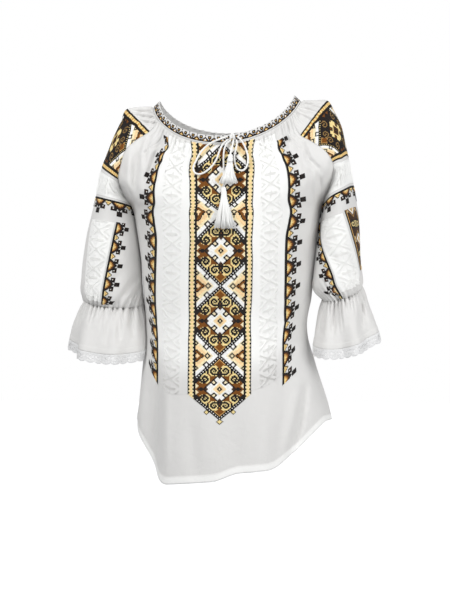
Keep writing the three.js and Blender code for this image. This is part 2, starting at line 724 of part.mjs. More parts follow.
const LEFT_PHASE = 0.9;
const RIGHT_PHASE = 2.3;

const blouse = new THREE.Group();
const garment = makeGarment();
const leftRuffle = rufflePatch(LEFT_RUFFLE, LEFT_PHASE, -1);
const rightRuffle = rufflePatch(RIGHT_RUFFLE, RIGHT_PHASE, 1);
blouse.add(
  mesh("front_panel", shell(garment.front, CLOTH), COTTON),
  mesh("back_panel", shell(garment.back, CLOTH), COTTON),
  mesh("sleeve_left", shell(garment.left, CLOTH), COTTON),
  mesh("sleeve_right", shell(garment.right, CLOTH), COTTON),
  mesh("neckband", shell(neckbandPatch(), BAND), BAND_WHITE),
  mesh("ruffle_left", shell(leftRuffle, CLOTH), COTTON),
  mesh("ruffle_right", shell(rightRuffle, CLOTH), COTTON),
  mesh("lace_left", shell(lacePatch(LEFT_RUFFLE, LEFT_PHASE, -1, leftRuffle), CLOTH), LACE_WHITE),
  mesh("lace_right", shell(lacePatch(RIGHT_RUFFLE, RIGHT_PHASE, 1, rightRuffle), CLOTH), LACE_WHITE),
  knot(CORD_WHITE),
  cord("bow_loop_left", LEFT_LOOP, CORD_WHITE),
  cord("bow_loop_right", RIGHT_LOOP, CORD_WHITE),
  cord("cord_end_long", LONG_END, CORD_WHITE),
  cord("cord_end_short", SHORT_END, CORD_WHITE),
  tassel("tassel_long", LONG_TASSEL, CORD_WHITE),
  tassel("tassel_short", SHORT_TASSEL, CORD_WHITE),
);

export default blouse;
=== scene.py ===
import math
import random
from contextlib import contextmanager

import bmesh
import bpy
import numpy as np
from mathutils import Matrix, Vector


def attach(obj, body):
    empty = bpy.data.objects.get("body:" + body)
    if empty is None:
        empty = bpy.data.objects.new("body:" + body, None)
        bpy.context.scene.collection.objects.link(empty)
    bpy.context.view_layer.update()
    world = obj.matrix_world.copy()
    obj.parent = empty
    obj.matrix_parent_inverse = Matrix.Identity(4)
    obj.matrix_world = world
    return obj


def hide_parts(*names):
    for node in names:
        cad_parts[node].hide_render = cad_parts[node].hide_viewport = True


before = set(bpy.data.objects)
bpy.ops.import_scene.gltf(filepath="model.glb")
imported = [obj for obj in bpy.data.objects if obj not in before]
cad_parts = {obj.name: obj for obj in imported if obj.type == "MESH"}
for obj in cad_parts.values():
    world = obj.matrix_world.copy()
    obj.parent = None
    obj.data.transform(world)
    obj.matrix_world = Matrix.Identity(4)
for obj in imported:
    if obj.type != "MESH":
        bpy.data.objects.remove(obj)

bl_info = {
    "name": "Embroidered Peasant Blouse",
    "version": (1, 0, 0),
    "blender": (4, 5, 0),
    "location": "3D View > Sidebar > Blouse",
    "description": "Makes a worn-shaped blouse with cross stitch, lace cuffs and a drawstring",
    "category": "Object",
}

MM = 0.001
WELD_DISTANCE = 2e-5  # in metres
BODY = "root"

# ---- Sizes of the blouse, in millimetres ----

NECK_HALF_WIDTH, NECK_FRONT, NECK_BACK = 129.5, 95.0, 80.0
NECK_SIDE_Z, NECK_FRONT_DROP, NECK_BACK_DROP = -3.0, 78.5, 56.0
NECK_SOFTNESS, NECK_BOW, NECK_TILT = 0.1, 1.15, 0.027
FRONT_SEAM_ANGLE, BACK_SEAM_ANGLE = 64.0, 66.0

# Each row of a sleeve: outer ridge x and z, seam x and z, centre y, half depth, turn and dip
LEFT_SLEEVE = (
    (-130, -6, -113, -36, 0, 92, 26, 0), (-153, -6, -121, -46, 0, 55, 60, 0),
    (-176, -9, -129, -54, 0, 58, 65, 0), (-187, -32, -150, -68, 0, 61, 70, 0),
    (-198, -55, -168, -85, -1, 62, 78, 0), (-209, -82, -177, -110, -2, 61, 93, 0),
    (-220, -111, -183, -137, -3, 60, 114, 0), (-226, -138, -178, -162, -4, 59, 146, 0),
    (-231, -165, -165, -180, -5, 58, 180, 0), (-238, -193, -166, -207, -5, 57, 180, 0),
    (-246, -225, -162, -236, -6, 56, 180, 0), (-252, -262, -157, -270, -6, 56, 180, 0),
    (-256, -298, -154, -305, -7, 55, 180, 2), (-257, -328, -152, -336, -7, 54, 180, 6),
    (-252, -345, -152, -353, -7, 49, 180, 10),
)
RIGHT_SLEEVE = (
    (129.5, 1, 113, -33, 0, 92, 26, 0), (152, 2, 121, -48, 0, 55, 60, 0),
    (174, 2, 130, -62, 0, 60, 65, 0), (188, -19, 151, -75, 0, 63, 72, 0),
    (200, -44, 171, -89, -1, 64, 82, 0), (207, -70, 184, -105, -2, 64, 96, 0),
    (212, -95, 188, -122, -3, 62, 114, 0), (216, -122, 182, -150, -4, 61, 146, 0),
    (221, -150, 168, -178, -5, 60, 180, 0), (226, -178, 169, -204, -5, 60, 180, 0),
    (230, -208, 165, -232, -6, 59, 180, 0), (232, -241, 160, -263, -6, 59, 180, 0),
    (233, -272, 157, -293, -7, 58, 180, 2), (235, -300, 155, -323, -7, 57, 180, 8),
    (236, -322, 166, -342, -7, 51, 180, 14),
)
UNDERARM_ROW = 8
BACK_LIFT, BACK_DEPTH = 7.0, 0.93

# Middle of the front and of the back at each row down to the underarm: y, z and turn
FRONT_YOKE = (
    (-95, -83, 64), (-98, -93, 60), (-101, -105, 57), (-104, -120, 54), (-107, -137, 52),
    (-110, -155, 52), (-112.5, -172, 58), (-115, -187, 70), (-117, -200, 90),
)
BACK_YOKE = (
    (80, -59, 66), (84, -72, 62), (88, -87, 58), (92, -104, 55), (95, -122, 53),
    (97, -141, 53), (98, -160, 58), (98, -178, 70), (97, -195, 90),
)

# The body below the arms: z, left side, right side, front and back
TORSO = (
    (-178, -165, 168, -117, 97), (-203, -160, 163, -117, 97), (-257, -153, 155, -116, 94),
    (-310, -149, 150, -110, 88), (-353, -146, 145, -104, 82), (-376, -143, 140, -102, 81),
    (-410, -142, 142, -104, 85), (-436, -144, 149, -108, 92), (-481, -149, 163, -115, 102),
    (-546, -157, 181, -123, 112), (-600, -160, 186, -128, 117), (-660, -162, 190, -131, 120),
)
TORSO_SPAN = 9  # rows of the body below the underarm row

HEM_FRONT_Z, HEM_BACK_Z, HEM_LEFT_Z, HEM_RIGHT_Z = -647.0, -652.0, -553.0, -551.0
HEM_LEFT_SWEEP, HEM_RIGHT_SWEEP, HEM_SAG = (0.36, 0.84), (0.18, 0.8), 22.0

# Broad folds: place across, drift by the hem, width, depth and the height where they start
FRONT_FOLDS = (
    (-0.78, 0.08, 0.12, 5, -420), (-0.56, 0.02, 0.1, -7, -380), (-0.3, -0.04, 0.16, 4, -430),
    (0.02, 0.06, 0.16, -4, -480), (0.3, -0.02, 0.14, 4, -430), (0.52, -0.12, 0.1, -9, -370),
    (0.76, -0.02, 0.13, 5, -420),
)
BACK_FOLDS = (
    (-0.7, 0.06, 0.13, -7, -400), (-0.4, -0.03, 0.14, 5, -360), (-0.08, 0.02, 0.14, -6, -330),
    (0.26, 0.04, 0.14, 5, -380), (0.6, -0.04, 0.13, -7, -410),
)

# The ruffle rows: the sleeve's values, with the last row at the hem of the cloth
LEFT_RUFFLE = (
    (-252, -345.7, -152, -353.7, -7, 49, 180, 10), (-262, -367, -150, -377, -8, 56, 180, 13),
    (-270, -390, -149, -401, -9, 61, 180, 17), (-273, -411, -148, -424, -10, 65, 180, 20),
)
RIGHT_RUFFLE = (
    (236, -322.7, 166, -342.7, -7, 51, 180, 14), (246, -347, 161, -366, -8, 58, 180, 18),
    (254, -371, 158, -391, -9, 64, 180, 21), (259, -391, 157, -413, -10, 68, 180, 24),
)
LEFT_PHASE, RIGHT_PHASE = 0.9, 2.3
LACE_DROP = 17.0

BAND_WIDTH = 15.5
BAND_WALL = 0.0015  # in metres: the neckband is doubled
BAND_FRONT_LEAN, BAND_SIDE_LEAN, BAND_BACK_LEAN = 14.0, 48.0, 20.0

CORD_BACK_Y, CORD_FRONT_Y, CORD_FROM_Z, CORD_FALL, CORD_GAP = -95.0, -117.0, 83, 117, 5
KNOT = (19.5, -70.0)
LEFT_LOOP = (
    (11.6, -69.6), (6, -71), (-9, -76.5), (-21.7, -83.1), (-34.3, -96.6), (-41.1, -110),
    (-45.8, -121), (-43.6, -130), (-36, -133.4), (-25.5, -129.6), (-14.1, -119.5),
    (-6.4, -107), (-2, -93.7), (3.5, -82), (12.8, -74.2),
)
RIGHT_LOOP = (
    (26, -75), (27.2, -80.5), (26.2, -88), (23.4, -101), (24.3, -115), (29.6, -125.4),
    (38.4, -127.4), (45, -119), (46, -104), (41.5, -89), (35.6, -78), (27.8, -69.3),
)
LONG_END = (
    (16.8, -75.9), (9.5, -82), (5.6, -94), (5.1, -110), (5.8, -126), (6.3, -142), (6.4, -156),
)
SHORT_END = (
    (21.3, -75.3, 0), (20.6, -81, 1.6), (19.4, -89, 5), (18, -96, 7.6), (17.6, -100.5, 8),
)
# Tassels: top x and z, length, skirt radius, lean and distance in front of the cord's place
LONG_TASSEL = (6.4, -156.4, 70, 21, 3.5, 2)
SHORT_TASSEL = (17.6, -101, 50, 17, -3, 8)
TASSEL_PROFILE = ((0, 0), (3, 0.6), (4.2, 3), (3.6, 8), (4.6, 12), (6.6, 24))
TASSEL_FLATTEN = 0.34


# ---- Small helpers ----

def mix(a, b, share):
    return a + (b - a) * share


def ease(share):
    held = np.clip(share, 0.0, 1.0)
    return held * held * (3.0 - 2.0 * held)


def hermite(start, end, leave, arrive, t):
    """A smooth step from start to end, by the slopes that it leaves and arrives with."""
    cubic = 2 * (start - end) + leave + arrive
    square = 3 * (end - start) - 2 * leave - arrive
    return ((cubic * t + square) * t + leave) * t + start


def run_along(path):
    """How far along a path each of its points lies."""
    steps = np.linalg.norm(np.diff(path, axis=0), axis=1)
    return np.concatenate([[0], np.cumsum(steps)])


def unit(vectors):
    return vectors / np.linalg.norm(vectors, axis=-1, keepdims=True)


def for_side(left, first, second):
    """The first of two for the left side, and the second for the right."""
    return first if left else second


def at_height(column, z):
    """A column of the torso table at heights z, smooth from row to row."""
    table = np.array(TORSO, float)[::-1]
    heights, values = table[:, 0], table[:, column]
    slopes = np.empty(len(heights))
    slopes[1:-1] = (values[2:] - values[:-2]) / (heights[2:] - heights[:-2])
    slopes[0] = (values[1] - values[0]) / (heights[1] - heights[0])
    slopes[-1] = (values[-1] - values[-2]) / (heights[-1] - heights[-2])
    z = np.clip(z, heights[0], heights[-1])
    below = np.clip(np.searchsorted(heights, z, side="right") - 1, 0, len(heights) - 2)
    span = heights[below + 1] - heights[below]
    t = (z - heights[below]) / span
    leave, arrive = slopes[below] * span, slopes[below + 1] * span
    return hermite(values[below], values[below + 1], leave, arrive, t)


# ---- The forms that the cloth follows ----

def neck_point(degrees):
    """Points of the neck ring, by degrees from the middle of the front towards +X."""
    angle = np.radians(degrees)
    across, along = np.sin(angle), np.cos(angle)
    soft = NECK_SOFTNESS
    fall = ((np.hypot(along, soft) - soft) / (math.hypot(1, soft) - soft)) ** NECK_BOW
    drop = np.where(along > 0, NECK_FRONT_DROP, NECK_BACK_DROP)
    x = NECK_HALF_WIDTH * across
    y = -np.where(along > 0, NECK_FRONT, NECK_BACK) * along
    return np.stack([x, y, NECK_SIDE_Z - drop * fall + NECK_TILT * x], -1)


def ring_point(row, around, lift=0.0):
    """Points of a sleeve row: around is -1 at the front seam, 0 on the ridge, 1 at the back."""
    ridge_x, ridge_z, seam_x, seam_z, centre_y, half_depth, turn, dip = row
    angle = np.radians(np.abs(around) * turn)
    share = (1 - np.cos(angle)) / (1 - math.cos(math.radians(turn)))
    depth = np.where(around < 0, -half_depth, half_depth * BACK_DEPTH)
    return np.stack([
        mix(ridge_x, seam_x, share),
        centre_y + depth * np.sin(angle),
        mix(ridge_z, seam_z, share) + np.sign(around) * dip * np.sin(angle)
        + np.where(around > 0, lift * share, 0.0),
    ], -1)


def sleeve_row(table, index, around):
    """Points of a sleeve row, eased onto the neck ring in the first two rows."""
    around = np.asarray(around, float)
    lift = BACK_LIFT * math.sin(math.pi * index / UNDERARM_ROW) if index < UNDERARM_ROW else 0.0
    points = ring_point(table[index], around, lift)
    share = max(1 - index / 2, 0) ** 2
    if share:
        side = math.copysign(1, table[0][0])
        seam = np.where(around < 0, FRONT_SEAM_ANGLE, 180 - BACK_SEAM_ANGLE)
        ring = neck_point(side * mix(90, seam, np.abs(around)))
        points = points + (ring - ring_point(table[0], around)) * share
    return points


def yoke_row(front, index, across):
    """Points of a row of the front or back, between the raglan seams."""
    across = np.asarray(across, float)
    if index == 0:
        seam_angle = FRONT_SEAM_ANGLE if front else BACK_SEAM_ANGLE
        return neck_point(across * seam_angle if front else 180 - across * seam_angle)
    place = -1.0 if front else 1.0
    left = sleeve_row(LEFT_SLEEVE, index, np.array([place]))[0]
    right = sleeve_row(RIGHT_SLEEVE, index, np.array([place]))[0]
    seam = np.where((across < 0)[:, None], left, right)
    middle_y, middle_z, turn = (FRONT_YOKE if front else BACK_YOKE)[index]
    angle = np.radians(np.abs(across) * turn)
    share = (1 - np.cos(angle)) / (1 - math.cos(math.radians(turn)))
    return np.stack([
        seam[:, 0] * np.sin(angle) / math.sin(math.radians(turn)),
        mix(middle_y, seam[:, 1], share),
        mix(middle_z, seam[:, 2], share),
    ], -1)


def hem_height(front, across):
    low, high = (np.where(across < 0, a, b) for a, b in zip(HEM_LEFT_SWEEP, HEM_RIGHT_SWEEP))
    rise = ease((np.abs(across) - low) / (high - low))
    side = np.where(across < 0, HEM_LEFT_Z, HEM_RIGHT_Z)
    sag = HEM_SAG * across * (1 - rise)
    return mix((HEM_FRONT_Z if front else HEM_BACK_Z) + sag, side, rise)


def torso_row(front, share, across):
    """Points at a share of the way from the underarm to the hem."""
    across = np.asarray(across, float)
    hem_z = hem_height(front, across)
    z = mix(yoke_row(front, UNDERARM_ROW, across)[:, 2], hem_z, share)
    out = np.zeros(len(across))
    for place, drift, width, depth, top_z in FRONT_FOLDS if front else BACK_FOLDS:
        grown = ease((top_z - z) / (top_z - hem_z))
        out += depth * grown * np.exp(-(((across - place - drift * grown) / width) ** 2))
    angle = np.radians(90 * across)
    side = np.abs(np.where(across < 0, at_height(1, z), at_height(2, z)))
    face = at_height(3 if front else 4, z)
    return np.stack([
        (side + out) * np.sin(angle),
        (face + np.sign(face) * out) * np.cos(angle),
        z,
    ], -1)


def loft(rows, knots, places):
    """Rows of points at places between knots, on a smooth curve down every column."""
    rows = np.asarray(rows, float)
    steps = np.linalg.norm(np.diff(rows, axis=0), axis=2).mean(axis=1)
    lengths = np.concatenate([[0.0], np.cumsum(steps)])
    slopes = np.gradient(rows, lengths, axis=0)
    want = np.interp(places, knots, lengths)
    low = np.clip(np.searchsorted(lengths, want, side="right") - 1, 0, len(lengths) - 2)
    span = (lengths[low + 1] - lengths[low])[:, None, None]
    t = (want - lengths[low])[:, None, None] / span
    return hermite(rows[low], rows[low + 1], slopes[low] * span, slopes[low + 1] * span, t)


def body_grid(front, places, across):
    """The front or back: places run 0 to 8 down to the underarm and on to 17 at the hem."""
    rows = [yoke_row(front, index, across) for index in range(UNDERARM_ROW + 1)]
    shares = np.linspace(0, 1, 19)[2:]
    rows += [torso_row(front, share, across) for share in shares]
    knots = list(range(UNDERARM_ROW + 1)) + list(UNDERARM_ROW + TORSO_SPAN * shares)
    return loft(rows, knots, places)


def sleeve_grid(table, places, around):
    """A sleeve: places run 0 at the neck, 8 at the underarm and 14 at the elbow."""
    rows = [sleeve_row(table, index, around) for index in range(len(table))]
    return loft(rows, range(len(table)), places)


def outward(points, sense, closed_from=None):
    """Outward unit directions of a grid. closed_from is the first row that is a closed ring."""
    down = np.gradient(points, axis=0)
    along = np.gradient(points, axis=1)
    if closed_from is not None:
        wrap = points[closed_from:, 1] - points[closed_from:, -2]
        along[closed_from:, 0] = along[closed_from:, -1] = wrap
    normals = np.cross(down, along) * sense
    return normals / np.maximum(np.linalg.norm(normals, axis=2, keepdims=True), 1e-9)


def flute(around, phase):
    """How far the flutes of a ruffle swing out, less where it hangs beside the body."""
    inner = ease((np.abs(around) - 0.6) / 0.3)
    waves = 0.7 * np.cos(7 * math.pi * around + phase)
    waves = waves + 0.4 * np.cos(3 * math.pi * around - 2 * phase)
    return mix(8.0, 2.0, inner) * waves + 14 * np.exp(-(((around + 0.8) / 0.12) ** 2))


def ruffle_row(row, grown, around, phase):
    points = ring_point(row, around)
    centre = np.array([(row[0] + row[2]) / 2, row[4]])
    away = unit(points[:, :2] - centre)
    points[:, :2] += away * (flute(around, phase) * grown)[:, None]
    return points


def ruffle_grid(table, phase, places, around):
    """A ruffle: places run 0 at the elbow to 3 at the hem."""
    rows = [ruffle_row(row, index / 3, around, phase) for index, row in enumerate(table)]
    return loft(rows, range(len(table)), places)


def lace_grid(table, phase, drops, around):
    """The lace edging, which goes on from the hem of its ruffle."""
    hem, before = table[-1], table[-2]
    slope = (hem[0] - before[0]) / (before[1] - hem[1])
    rows = []
    for drop in drops:
        edge = list(hem)
        edge[0] += slope * drop
        edge[1] -= drop
        edge[3] -= drop
        rows.append(ruffle_row(edge, 1.0, around, phase))
    return np.array(rows)


def band_grid(heights, degrees):
    """The neckband: heights are millimetres up from the neck ring."""
    foot = neck_point(degrees)
    along = np.cos(np.radians(degrees))
    face = np.where(along > 0, BAND_FRONT_LEAN, BAND_BACK_LEAN)
    lean = np.radians(mix(BAND_SIDE_LEAN, face, np.abs(along)))
    away = unit(-foot[:, :2])
    way = np.concatenate([away * np.sin(lean)[:, None], np.cos(lean)[:, None]], 1)
    return foot + np.asarray(heights, float)[:, None, None] * way


def cord_point(x, z, out=0.0):
    """A point of the drawstring in front of the cloth, which comes forward below the neck."""
    share = min(max((z + CORD_FROM_Z) / -CORD_FALL, 0), 1)
    y = mix(CORD_BACK_Y, CORD_FRONT_Y, share) - CORD_GAP - out
    return (x, y, z)


# ---- Cloth grids ----

class Cloth:
    """A grid of points in millimetres on the outer face of a piece of cloth.

    Rows stand at places and columns at columns. sense is 1 where down x along points out.
    """

    def __init__(self, points, places, columns, sense, closed_from=None):
        self.points = points
        self.places = np.asarray(places, float)
        self.columns = np.asarray(columns, float)
        self.sense = sense
        self.closed_row = None
        if closed_from is not None:
            self.closed_row = int(np.searchsorted(self.places, closed_from - 1e-6))
        self.closed_from = closed_from
        self.measure()

    def measure(self):
        self.normals = outward(self.points, self.sense, self.closed_row)
        steps = np.linalg.norm(np.diff(self.points, axis=1), axis=2)
        run = np.concatenate([np.zeros((len(steps), 1)), np.cumsum(steps, axis=1)], axis=1)
        middle = int(np.argmin(np.abs(self.columns)))
        self.across = run - run[:, middle:middle + 1]
        steps = np.linalg.norm(np.diff(self.points, axis=0), axis=2)
        self.down = np.concatenate([np.zeros((1, steps.shape[1])), np.cumsum(steps, axis=0)])

    def push(self, depth):
        """Moves the cloth out along its own directions."""
        self.points = self.points + self.normals * depth[..., None]
        self.measure()

    def spots(self, place, column):
        """Where places and columns fall in the grid: low row, low column and both remainders."""
        place, column = np.broadcast_arrays(np.asarray(place, float), np.asarray(column, float))
        if self.closed_from is not None:
            round_it = (column + 1) % 2 - 1
            column = np.where((place >= self.closed_from) & (np.abs(column) > 1), round_it, column)
        row = np.interp(place, self.places, np.arange(len(self.places)))
        col = np.interp(column, self.columns, np.arange(len(self.columns)))
        low_row = np.clip(row.astype(int), 0, len(self.places) - 2)
        low_col = np.clip(col.astype(int), 0, len(self.columns) - 2)
        return low_row, low_col, row - low_row, col - low_col

    def read(self, grid, place, column):
        """A grid's values at places and columns."""
        row, col, down, along = self.spots(place, column)
        if grid.ndim == 3:
            down, along = down[..., None], along[..., None]
        top = mix(grid[row, col], grid[row, col + 1], along)
        bottom = mix(grid[row + 1, col], grid[row + 1, col + 1], along)
        return mix(top, bottom, down)

    def sample(self, place, column):
        points = self.read(self.points, place, column)
        normals = self.read(self.normals, place, column)
        return points, unit(normals)

    def column_at(self, place, reach):
        """The column that lies reach millimetres across from the middle, on one row."""
        row = self.read(self.across, np.full(len(self.columns), place), self.columns)
        total = row[-1] - row[0]
        turns = np.floor((reach - row[0]) / total) if self.closed_from is not None else 0.0
        return np.interp(reach - turns * total, row, self.columns) + 2 * turns

    def place_at(self, column, reach):
        """The place that lies reach millimetres down a column."""
        line = self.read(self.down, self.places, np.full(len(self.places), column))
        return np.interp(reach, line, self.places)


def gathers(position, distance, spacing, reach, height, seed, span=(-1.0, 1.0)):
    """Uneven small pleats that run away from a gathered edge and die out.

    position runs along the edge and distance away from it, both for every grid point.
    """
    draw = random.Random(seed)
    depth = np.zeros(position.shape)
    at = span[0]
    while at < span[1]:
        width = spacing * draw.uniform(0.22, 0.38)
        top = height * draw.uniform(0.55, 1.35)
        length = reach * draw.uniform(0.35, 1.15)
        sway = spacing * draw.uniform(-0.5, 0.5)
        fade = np.clip(1 - distance / length, 0, 1) ** 1.2
        offset = (position - at - sway * distance / reach) / width
        sides = 0.3 * np.exp(-((np.abs(offset) - 1.7) ** 2))
        depth -= top * fade * (np.exp(-offset * offset) - sides)
        at += spacing * draw.uniform(0.7, 1.5)
    return depth


def drift(cloth, size, height, seed):
    """Slow unevenness of hanging cloth, from a few crossing waves."""
    draw = random.Random(seed)
    depth = np.zeros(cloth.across.shape)
    for _ in range(7):
        angle = draw.uniform(-0.5, 0.5)
        length = size * draw.uniform(0.6, 1.6)
        phase = draw.uniform(0, 2 * math.pi)
        swing = cloth.across * math.cos(angle) + cloth.down * math.sin(angle)
        bend = 0.6 * np.sin(cloth.down / size + phase)
        depth += np.sin(2 * math.pi * swing / length + phase + bend)
    return depth * height / 7


def near_edges(columns, fade):
    """1 inside a panel and 0 at its two side edges."""
    return ease((1 - np.abs(columns)) / fade)


# ---- Meshes ----

def new_object(name, mesh):
    piece = bpy.data.objects.new(name, mesh)
    bpy.context.scene.collection.objects.link(piece)
    return piece


def only(piece):
    """Selects one piece alone and makes it the active one."""
    bpy.ops.object.select_all(action="DESELECT")
    piece.select_set(True)
    bpy.context.view_layer.objects.active = piece


def finish_piece(piece, slot, *nodes):
    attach(piece, BODY)
    if nodes:
        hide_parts(*nodes)
    return piece


def add_wall(piece, thickness, offset):
    """Gives a sheet its thickness, on its inner side for an offset of -1."""
    only(piece)
    modifier = piece.modifiers.new("Wall", "SOLIDIFY")
    modifier.thickness, modifier.offset, modifier.use_rim = thickness, offset, True
    bpy.ops.object.modifier_apply(modifier=modifier.name)


@contextmanager
def opened(mesh):
    """A mesh in its edit form, which is written back at the end."""
    work = bmesh.new()
    work.from_mesh(mesh)
    yield work
    work.to_mesh(mesh)
    work.free()


def weld(work):
    bmesh.ops.remove_doubles(work, verts=work.verts, dist=WELD_DISTANCE)


def mesh_from(name, points, faces, uv=None, smooth=True):
    """A mesh from points in millimetres and faces of equal corner count."""
    faces = np.asarray(faces, np.int32)
    corners = faces.shape[1]
    mesh = bpy.data.meshes.new(name)
    mesh.vertices.add(len(points))
    mesh.vertices.foreach_set("co", (np.asarray(points, float) * MM).ravel())
    mesh.loops.add(faces.size)
    mesh.loops.foreach_set("vertex_index", faces.ravel())
    mesh.polygons.add(len(faces))
    mesh.polygons.foreach_set("loop_start", np.arange(0, faces.size, corners, dtype=np.int32))
    mesh.polygons.foreach_set("loop_total", np.full(len(faces), corners, np.int32))
    mesh.polygons.foreach_set("use_smooth", np.full(len(faces), smooth))
    if uv is not None:
        layer = mesh.uv_layers.new(name="UVMap")
        layer.data.foreach_set("uv", np.asarray(uv, np.float32).ravel())
    mesh.update(calc_edges=True)
    mesh.validate()
    return mesh


def piece_from(name, points, faces, flat, material, smooth=True):
    """A new object with one material. flat gives a place on the flat for every point."""
    mesh = mesh_from(name, points, faces, flat[faces.ravel()], smooth)
    mesh.materials.append(material)
    return new_object(name, mesh)


def grid_faces(rows, columns, sense):
    index = np.arange(rows * columns).reshape(rows, columns)
    quads = [index[:-1, :-1], index[1:, :-1], index[1:, 1:], index[:-1, 1:]]
    if sense < 0:
        quads.reverse()
    return np.stack(quads, -1).reshape(-1, 4)


def cloth_piece(name, cloth, thickness, material, hem_at=None):
    """The cloth as a thin shell: its outer face, and a wall on its inner side."""
    rows, columns = cloth.across.shape
    faces = grid_faces(rows, columns, cloth.sense)
    flat = np.stack([cloth.across, -cloth.down], -1).reshape(-1, 2) * MM
    piece = piece_from(name, cloth.points.reshape(-1, 3), faces, flat, material)
    if hem_at is not None:
        doubled = np.repeat(ease((cloth.places - hem_at) / HEM_STEP), columns)
        layer = piece.data.attributes.new(name="doubled", type="FLOAT", domain="POINT")
        layer.data.foreach_set("value", doubled.astype(np.float32))
    if cloth.closed_row is not None:
        with opened(piece.data) as work:
            weld(work)
    add_wall(piece, thickness, -1.0)
    return piece


# ---- Stitch charts ----

THREADS = "KDBOGLCPW"  # black, dark brown, brown, olive, gold, pale gold, cream, peach, white
EMPTY = -1


def paint(letter):
    return THREADS.index(letter) if letter in THREADS else EMPTY


def chart_from(rows, columns, cell):
    """A chart from a rule that gives the letter of a row and column."""
    return np.array([[paint(cell(r, c)) for c in range(columns)] for r in range(rows)])


def diamond(across, down, centre_across, centre_down):
    return abs(across - centre_across) + abs(down - centre_down)


HORN_RADIUS, CURL_RADIUS, CURL_FALL = 5.6, 4.9, 0.0086  # in cells, and cells a degree


def horn(across, down, ink="K", paper="L"):
    """A ram's horn: a curl on a disc. Returns its letter, or a blank outside."""
    radius = math.hypot(across, down)
    if radius > HORN_RADIUS:
        return " "
    turn = (45 - math.degrees(math.atan2(down, across))) % 360
    width = 1.15 if ink == "K" else 0.66
    for turned in (turn, turn + 360):
        if abs(radius - (CURL_RADIUS - CURL_FALL * turned)) < width:
            return ink
    return paper


def outlined(distance, half, inside, ring="K", wall=1.2):
    """A small diamond with a dark outline, or a blank outside it."""
    if distance > half:
        return " "
    return ring if distance > half - wall else inside


def first_letter(*letters):
    return next((letter for letter in letters if letter != " "), " ")


FIELD = 23  # cells from the middle of the lozenge field to its border
PERIOD = 71  # cells from one crossing of the lozenges to the next
FLOWER = 15.2  # cells from the middle of a white diamond to its black rim


def side_triangle(across, y):
    """Between two lozenges: white by the edges, and deeper towards the border."""
    marks = first_letter(
        outlined(diamond(across, y, 12, 0), 3, "C", wall=2),
        outlined(diamond(across, y, 13, 9.6), 4.1, "W", wall=2),
        outlined(diamond(across, y, 23.6, 12.8), 3.4, "C", wall=2),
        outlined(diamond(across, y, 22, 0), 2.1, "P", ring="P"),
    )
    if marks != " ":
        return marks
    if across >= 14.5 + 1.25 * y:
        if across >= 21 and y <= across - 20:
            return "D"
        return "K" if across < 15.8 + 1.25 * y else "B"
    depth = across - y
    return "W" if depth <= 6 else "C" if depth <= 10 else "P" if depth <= 16 else "G"


def lozenge(across, y, ink, paper, ground):
    """Inside a lozenge: a white diamond among eight ram's horns on a dark ground."""
    down = PERIOD / 2 - y
    distance = across + down
    if distance <= FLOWER + 2:
        marks = first_letter(
            outlined(diamond(across, down, 5.8, 7.2), 3.6, "C", wall=2),
            "D" if diamond(across, down, 0, 13) <= 2.2 else " ",
            "D" if diamond(across, down, 13, 0) <= 2.2 else " ",
            outlined(distance, 2.6, "C", wall=1.8),
        )
        if distance > FLOWER:
            return "K"
        if marks != " ":
            return marks
        return "P" if distance <= 5.6 else "C" if distance <= 6.8 else "W"
    if (abs(across - 18) / 4.4) + abs(down) / 2.4 <= 1:
        return "K"
    if across >= 21 and abs(down - 3.6) <= across - 20.4:
        return "C"
    marks = first_letter(
        horn(across - 14.8, down - 11.2, ink, paper),
        horn(5.3 - across, down - 19.4, ink, paper),
        outlined(diamond(across, down, 13, 18), 3.1, "L", wall=1.7),
        outlined(diamond(across, down, 0, 26.1), 5.6, "B", ring="G"),
    )
    if marks != " ":
        return marks
    if across - y > -7:
        return "K"
    return ground


def from_crossing(row):
    """How many rows the nearest crossing of the lozenges is away."""
    return abs((row + PERIOD // 2) % PERIOD - PERIOD // 2)


def lozenge_field(across, row, ink="K", paper="L", ground="B"):
    """A cell of the field, across from its middle line, by row from a crossing."""
    y = from_crossing(row)
    edge = across - y
    if edge > 1:
        return side_triangle(across, y)
    if edge >= 0 or edge in (-2, -3):
        return "K"
    if edge == -1:
        return "W" if y % 2 else "K"
    return lozenge(across, y, ink, paper, ground)


def toothed_border(across, row):
    """Black line, teeth, gold band, teeth and black line beside the field."""
    step = across - FIELD
    if step in (1, 2, 8):
        return "K"
    if step in (3, 7):
        return "K" if row % 4 < 2 else "C"
    return "L" if row % 4 < 2 else "P"


CENTRE_HALF = 31
CENTRE_ABOVE = 5  # rows that run up under the neckband
CENTRE_LAST_CROSSING = 284
CENTRE_ROWS = CENTRE_ABOVE + CENTRE_LAST_CROSSING + 7


def centre_cell(row, column):
    """The panel down the middle of the front, which ends in a point."""
    across, row = abs(column - CENTRE_HALF), row - CENTRE_ABOVE
    above = CENTRE_LAST_CROSSING - row
    tip = outlined(diamond(across, row, 0, CENTRE_LAST_CROSSING + 3), 3.4, "L")
    if tip != " " or above < 0:
        return tip
    if above < 36 and across - above > 1:
        if across <= FIELD or above < across:
            small = outlined(diamond(across, above, 13, 8.6), 3.3, "L")
            return small if across <= FIELD and above > 0 else " "
    return lozenge_field(across, row) if across <= FIELD else toothed_border(across, row)


def block_cell(row, column):
    """The shoulder block of a sleeve: the same field, turned to run round the arm."""
    across = abs(row - CENTRE_HALF)
    if across > FIELD:
        return toothed_border(across, column).replace("C", "K").replace("P", "G")
    letter = lozenge_field(across, column, ink="O", paper="K", ground="K")
    if across - from_crossing(column) > 1:
        return letter
    return {"W": "L", "C": "B", "P": "D", "L": "K"}.get(letter, letter)


ZIGZAG_PERIOD, ZIGZAG_WIDE = 23, 15
